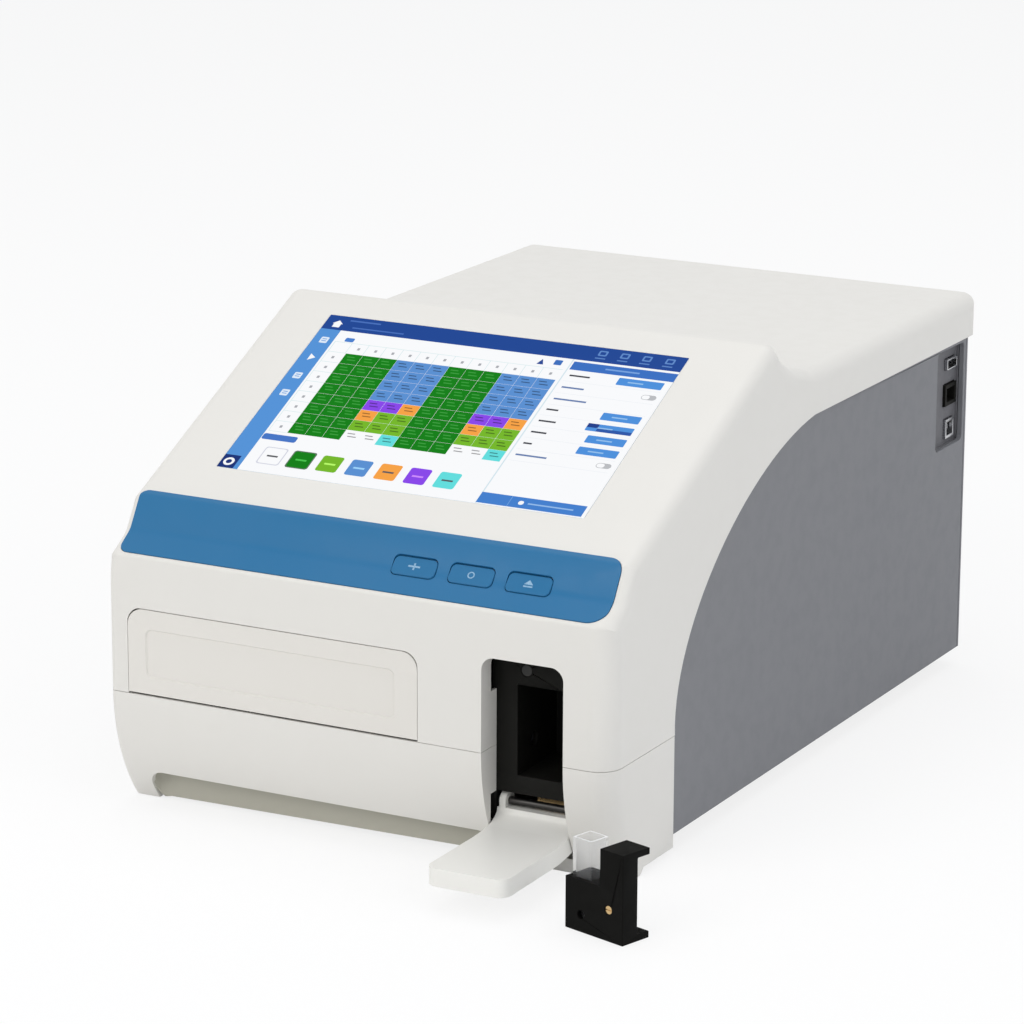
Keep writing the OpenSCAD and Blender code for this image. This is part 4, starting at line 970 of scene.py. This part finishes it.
# ---- Interface bay --------------------------------------------------------------------------
# A grey tub sunk in the right panel holds three sockets on an upright board: one flat and one
# square peripheral socket in tinned steel shells and between them a black network jack.
dark_plastic = plastic("dark_plastic", (60, 60, 63), rough=0.55, tint=0.02, relief=0.03,
                       grain=2600.0, shine=0.25)
bay_plastic = plastic("bay_plastic", (104, 104, 108), rough=0.6, tint=0.03, relief=0.03,
                      grain=2600.0, shine=0.25, slot="dark_plastic")
circuit_board, tree, shade = bare("circuit_board", Coat_Weight=0.4, Coat_Roughness=0.2)
place = own_place(tree)
tracks = add(tree, "ShaderNodeTexVoronoi", distance="MANHATTAN", feature="DISTANCE_TO_EDGE",
             Scale=210.0)
dots = add(tree, "ShaderNodeTexVoronoi", Scale=430.0)
track = spread(tree, tracks.outputs["Distance"], 0.05, 0.09)
pads = spread(tree, dots.outputs["Distance"], 0.16, 0.2, 1.0, 0.0)
mask = tinted(tree, srgb(30, 92, 58), srgb(18, 66, 42), track)
mottled = tinted(tree, mask, srgb(44, 110, 70), spread(tree, speckle(tree, place, 60), 0.4, 0.8))
bump = add(tree, "ShaderNodeBump", Distance=0.05 * MM, Strength=1.0)
wire(tree, (place, tracks.inputs["Vector"]), (place, dots.inputs["Vector"]),
     (tinted(tree, mottled, srgb(206, 196, 160), pads), shade.inputs["Base Color"]),
     (spread(tree, pads, 0, 1, 0.45, 0.25), shade.inputs["Roughness"]),
     (track, bump.inputs["Height"]), (bump.outputs["Normal"], shade.inputs["Normal"]))
refined("interface_tub", bay_plastic, 0.4)
refined("usb_a_port", bright_steel, 0.2)
refined("usb_b_port", bright_steel, 0.2)
refined("ethernet_port", black_plastic, 0.2)
refined("interface_board", circuit_board, 0.15)


def node_shape(name, inputs):
    """Empty Geometry Nodes tree with its ends; inputs are (name, kind) after the geometry."""
    tree = bpy.data.node_groups.new(name, "GeometryNodeTree")
    for label, kind in (("Geometry", "Geometry"), *inputs, ("Finish", "Material")):
        tree.interface.new_socket(label, in_out="INPUT", socket_type="NodeSocket" + kind)
    tree.interface.new_socket("Geometry", in_out="OUTPUT", socket_type="NodeSocketGeometry")
    return tree, tree.nodes.new("NodeGroupInput"), tree.nodes.new("NodeGroupOutput")


def copies(tree, start, end, points, item):
    """Puts an item on points, makes the copies real, gives them the finish and ends the tree."""
    on_points, real, coat = (tree.nodes.new("GeometryNode" + kind) for kind in (
        "InstanceOnPoints", "RealizeInstances", "SetMaterial"))
    wire(tree, (points, on_points.inputs["Points"]), (item, on_points.inputs["Instance"]),
         (on_points.outputs[0], real.inputs[0]), (real.outputs[0], coat.inputs["Geometry"]),
         (start.outputs["Finish"], coat.inputs["Material"]), (coat.outputs[0], end.inputs[0]))
    return on_points


line_repeater, start, end = node_shape(
    "repeat_in_line", (("Count", "Int"), ("First", "Vector"), ("Step", "Vector")))
line = line_repeater.nodes.new("GeometryNodeMeshLine")
wire(line_repeater, (start.outputs["Count"], line.inputs["Count"]),
     (start.outputs["First"], line.inputs["Start Location"]),
     (start.outputs["Step"], line.inputs["Offset"]))
copies(line_repeater, start, end, line.outputs[0], start.outputs["Geometry"])


def run_nodes(piece, tree, **values):
    """Runs a Geometry Nodes tree on a piece with named inputs and keeps the result as its mesh."""
    step = piece.modifiers.new("made", "NODES")
    step.node_group = tree
    plugs = {p.name: p.identifier for p in tree.interface.items_tree
             if p.item_type == "SOCKET" and p.in_out == "INPUT"}
    for label, value in values.items():
        step[plugs[label.replace("_", " ")]] = value
    made = bpy.data.meshes.new_from_object(
        piece.evaluated_get(bpy.context.evaluated_depsgraph_get()))
    piece.modifiers.remove(step)
    made.materials.clear()
    made.materials.append(values["Finish"])
    piece.data = made


def repeated(name, item, count, first, step, material, body="instrument"):
    """Row of small like items that are made in one place and repeated; sizes in millimetres."""
    piece = link(bpy.data.objects.new(name, into_mesh(name, sized(item, MM))))
    start = Vector((first[0], first[1] - FRONT_FACE, first[2])) * MM
    run_nodes(piece, line_repeater, Count=count, First=start, Step=Vector(step) * MM,
              Finish=material)
    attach(piece, body)


def bar(dx, dy, dz, cut=0.1):
    """Small block about its own middle, with its long edges broken."""
    return prism(round_box(-dx / 2, -dy / 2, dx / 2, dy / 2, cut, 2), "z", -dz / 2, dz / 2)


# Contacts stamped from strip: eight in the network jack, four in the flat socket and two in
# the square one.
for name, size, count, first, pitch in (
        ("network", (7.0, 0.45, 0.35), 8, (134.5, 439.04, 168.7), 1.02),
        ("flat_socket", (6.0, 1.1, 0.25), 4, (135.4, 438.85, 184.28), 2.5),
        ("square_socket", (6.0, 1.1, 0.25), 2, (136.2, 441.35, 146.93), 2.5)):
    repeated(name + "_contacts", bar(*size, 0.05), count, first, (0, pitch, 0), spring_metal)


# ---- Rear panel fittings --------------------------------------------------------------------
# A recessed mains inlet with three blades, a rocker switch in its own frame, and a 60 mm fan
# behind a welded wire guard. Each snaps or screws into its cut-out in the rear panel.
refined("power_inlet", black_plastic, 0.5)
refined("power_switch_housing", black_plastic, 0.4)
refined("power_rocker", black_plastic, 0.5, "switch_rocker", steps=3)
refined("fan_frame", black_plastic, 0.6)
refined("fan_rotor", dark_plastic, 0.25, "fan_wheel")
refined("fan_guard", bright_steel, 0.35)
repeated("rocker_marks", bar(0.5, 0.4, 5.2, 0.05), 1, (56.5, 459.1, 45.0), (1, 0, 0),
         dark_plastic, "switch_rocker")


# ---- Base tray and feet ---------------------------------------------------------------------
# The tray is 2 mm steel sheet, bent up at the sides and coated light grey. It carries everything
# inside and stands on four turned rubber feet, whose faces are dished to grip the bench.
tray_steel = plastic("tray_steel", (158, 157, 152), rough=0.55, tint=0.06, relief=0.03,
                     grain=1500.0, Metallic=0.15)
foot_rubber = plastic("foot_rubber", (34, 34, 34), rough=0.75, tint=0.12, relief=0.03,
                      grain=1200.0)
refined("base_tray", tray_steel, 0.35)


def turned(profile, centre, sides=48):
    """Turned solid: a profile of (radius, height) rows spun about an upright axis."""
    bm = bmesh.new()
    rings = []
    for radius, height in profile:
        rings.append([bm.verts.new((*point, height))
                      for point in circle(*centre, radius, sides if radius else 1)])
    for a, b in zip(rings, rings[1:]):
        for i in range(sides):
            j = (i + 1) % sides
            corners = [a[i % len(a)], a[j % len(a)], b[j % len(b)], b[i % len(b)]]
            bm.faces.new(list(dict.fromkeys(corners)))
    bmesh.ops.recalc_face_normals(bm, faces=bm.faces)
    return bm


def merged(shapes):
    """Several separate solids as one shape."""
    whole = bmesh.new()
    for bm in shapes:
        part = into_mesh("part", bm)
        whole.from_mesh(part)
        bpy.data.meshes.remove(part)
    return whole


foot_line = [(0, 0.9), (6.2, 0.9), (7.0, 0.1), (10.2, 0.0), (10.9, 0.6), (11.0, 1.4),
             (10.4, 2.6), (10.2, 6.4), (9.6, 7.9), (0, 8.0)]
feet = merged([turned(foot_line, (x, y)) for x in (-111.8, 111.8) for y in (60, 405.4)])
settle("bench_feet", feet, foot_rubber, stands_for=("rubber_feet",), edge=0.3, angle=40)


# ---- Screen module and its bracket, key board -----------------------------------------------
# Behind the glass: the flat display in its folded tin case, the bracket that presses it up, and
# the small board with a push switch under each key.
refined("display_module", dark_metal, 0.5)
refined("display_bracket", bright_steel, 0.2)
refined("key_board", circuit_board, 0.15)


# ---- Plate transport ------------------------------------------------------------------------
# Two ground rods in clamped blocks on an aluminium plate carry the nest on bronze bushes. A
# stepper motor and a toothed belt run the nest out through the flap; a spring finger holds the
# microplate in its corner.
plain_aluminium = metal("plain_aluminium", (192, 194, 197), 0.34, lines=(1800, 40, 1800),
                        relief=0.006, stain=0.12)
bronze = metal("bronze", (190, 144, 84), 0.3, lines=(2400, 50, 2400), relief=0.004, stain=0.25)
belt_rubber = plastic("belt_rubber", (26, 26, 27), rough=0.7, tint=0.1, relief=0.02,
                      grain=3000.0)
refined("chassis_plate", plain_aluminium, 0.5)
refined("carrier_rails", bright_steel, 0.6)
refined("rail_blocks", dark_metal, 0.5)
refined("plate_carrier", anodised_aluminium, 0.5, "carrier")
refined("carrier_bearings", bronze, 0.3, "carrier")
refined("plate_clamp", bright_steel, 0.2, "carrier")
refined("stepper_motors", dark_metal, 0.8)
refined("drive_pulley", plain_aluminium, 0.2, "belt_drive_wheel")
refined("idler_pulley", plain_aluminium, 0.2, "belt_idler_wheel")
refined("idler_bracket", bright_steel, 0.2)
MID = -49.1  # middle of the plate's way, left of the instrument's own
# laminations of both stepper motors' stacks, seen as fine ridges round their middles
LAMINATION_STEP = 1.7
SCREW = (124, 106.5)  # y and z of the head's screw
for name, x, y, z in (("drive", MID - 20, 398, 52), ("head", MID + 99, *SCREW)):
    lamination = prism(round_box(-14.2, -14.2, 14.2, 14.2, 3.2, 3), "x", -0.4, 0.4)
    repeated(name + "_motor_laminations", lamination, 9, (x - 4 * LAMINATION_STEP, y, z),
             (LAMINATION_STEP, 0, 0), dark_metal)

toothed, start, end = node_shape("teeth_round_a_belt", (("Count", "Int"), ("Size", "Vector")))
as_curve, spaced, cube = (toothed.nodes.new("GeometryNode" + kind) for kind in (
    "MeshToCurve", "CurveToPoints", "MeshCube"))
wire(toothed, (start.outputs["Geometry"], as_curve.inputs[0]),
     (as_curve.outputs[0], spaced.inputs["Curve"]),
     (start.outputs["Count"], spaced.inputs["Count"]),
     (start.outputs["Size"], cube.inputs["Size"]))
teeth = copies(toothed, start, end, spaced.outputs["Points"], cube.outputs["Mesh"])
wire(toothed, (spaced.outputs["Rotation"], teeth.inputs["Rotation"]))


BELT_Z = 52
PULLEY_Y = (398, 24)  # the motor's wheel behind, the idler in front
BELT_X = (MID - 44, MID - 38)


def belt_line(radius, steps=14):
    """Side view of the belt's loop round its two pulleys, as (y, z)."""
    return [(y + way * radius * math.sin(math.pi * i / steps),
             BELT_Z + way * radius * math.cos(math.pi * i / steps))
            for y, way in zip(PULLEY_Y, (1, -1)) for i in range(steps + 1)]


def belt_band(low, high):
    """Closed band of the belt between two radii, 6 mm wide."""
    bm = bmesh.new()
    loops = [[bm.verts.new((x, y, z)) for y, z in belt_line(r)]
             for x, r in zip(BELT_X + BELT_X[::-1], (low, low, high, high))]
    for a, b in zip(loops, loops[1:] + loops[:1]):
        for i in range(len(a)):
            j = (i + 1) % len(a)
            bm.faces.new((a[i], a[j], b[j], b[i]))
    bmesh.ops.recalc_face_normals(bm, faces=bm.faces)
    return bm


settle("toothed_belt_band", belt_band(6.75, 7.65), belt_rubber,
       stands_for=("drive_belt",), angle=60)
path = bmesh.new()
ring = [path.verts.new((MID - 41, y - FRONT_FACE, z)) for y, z in belt_line(6.55)]
for a, b in zip(ring, ring[1:] + ring[:1]):
    path.edges.new((a, b))
belt_teeth = link(bpy.data.objects.new(
    "toothed_belt_teeth", into_mesh("toothed_belt_teeth", sized(path, MM))))
run_nodes(belt_teeth, toothed, Count=262, Size=Vector((0.45, 6.0, 1.3)) * MM, Finish=belt_rubber)
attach(belt_teeth, "instrument")


# ---- Reading head ---------------------------------------------------------------------------
# A black anodised block with the lens that looks down on the wells. It slides across the plate on
# two thin rods between aluminium cheeks, moved by a screw that a second stepper motor turns.
optical_glass, tree, shade = bare("optical_glass", Transmission_Weight=0.9, IOR=1.5,
                                  Base_Color=(0.86, 0.94, 0.96, 1))
dust = spread(tree, speckle(tree, own_place(tree), 700, 4), 0.55, 0.8, 0.02, 0.14)
wire(tree, (dust, shade.inputs["Roughness"]))
refined("head_brackets", plain_aluminium, 0.6)
refined("head_rails", bright_steel, 0.4)
refined("optical_head", anodised_aluminium, 0.8, "reading_head", steps=3)
refined("lead_screw", bright_steel, 0.3, "head_screw")
lens_line = [(0, 94.9), (3, 95.05), (4.7, 95.6), (4.93, 96), (4.93, 98.6), (3.2, 99.2), (0, 99.5)]
settle("objective_lens", turned(lens_line, (MID, 150)), optical_glass, "reading_head",
       ("head_lens",))
repeated("lead_screw_thread", prism(circle(0, 0, 3.02), "x", -0.12, 0.12), 116,
         (MID - 83.5, *SCREW), (1.25, 0, 0), bright_steel, "head_screw")


# ---- Light source and monochromator ---------------------------------------------------------
# A shelf beside the transport holds the xenon flash lamp and the box whose ruled grating, on a
# turning post, picks the wavelength that goes through the tube to the reading head.
mirror_grating = metal("mirror_grating", (178, 190, 214), 0.1, lines=(30, 30, 9000),
                       relief=0.001, stain=0.04)
refined("optics_shelf", plain_aluminium, 0.4)
refined("monochromator", anodised_aluminium, 0.6)
refined("grating", mirror_grating, 0.3, "grating_turret")
refined("flash_lamp", dark_metal, 1.0, steps=3)
repeated("flash_lamp_fins", bar(1.2, 36.4, 38, 0.3), 9, (85.9, 271.1, 120), (5, 0, 0),
         dark_metal)


# ---- Electronics ----------------------------------------------------------------------------
# The processor board stands against the left panel on four spacers. The power supply sits in a
# perforated case at the right rear of the tray, next to the inlet.
refined("main_board", circuit_board, 0.25)
refined("power_supply", bright_steel, 0.8)
BOARD_FACE = -133.0
for name, y, z, half in (("processor", 275, 105, 13), ("memory", 350, 120, 18),
                         ("bridge", 332, 167, 10)):
    package = prism(round_box(-half, -half, half, half, 1.5), "x", 0, 1.2)
    settle(name + "_package", shifted(package, BOARD_FACE, y, z), black_plastic, edge=0.3)
repeated("power_supply_slots", bar(1.0, 22, 0.35, 0.3), 16, (57, 352, 52.1), (5, 0, 0),
         dark_plastic)


# ---- Cuvette holder -------------------------------------------------------------------------
# The loose holder that carries one cuvette into the port: a black injection moulding with an
# upright grip at one end and a square pocket at the other. A light hole runs through the pocket
# and a slotted brass screw clamps the cuvette's spring inside.
holder_black = plastic("holder_black", (13, 13, 12), rough=0.65, tint=0.004, relief=0.02,
                       shine=0.05, slot="black_plastic")
refined("holder_body", holder_black, 0.7, "holder", steps=3)
refined("holder_screw", spring_metal, 0.12, "holder")


# ---- Cuvette --------------------------------------------------------------------------------
# A standard 12.5 mm square cell of clear fused glass, with two polished windows, two frosted
# grip sides and an open top.
clear_cuvette, tree, shade = bare("clear_cuvette", Transmission_Weight=0.96, IOR=1.14,
                                  Base_Color=(0.985, 0.99, 1, 1))
frost = spread(tree, speckle(tree, own_place(tree), 260, 4), 0.4, 0.75, 0.03, 0.16)
wire(tree, (frost, shade.inputs["Roughness"]))
refined("cuvette", clear_cuvette, 0.3, "cuvette_cell")
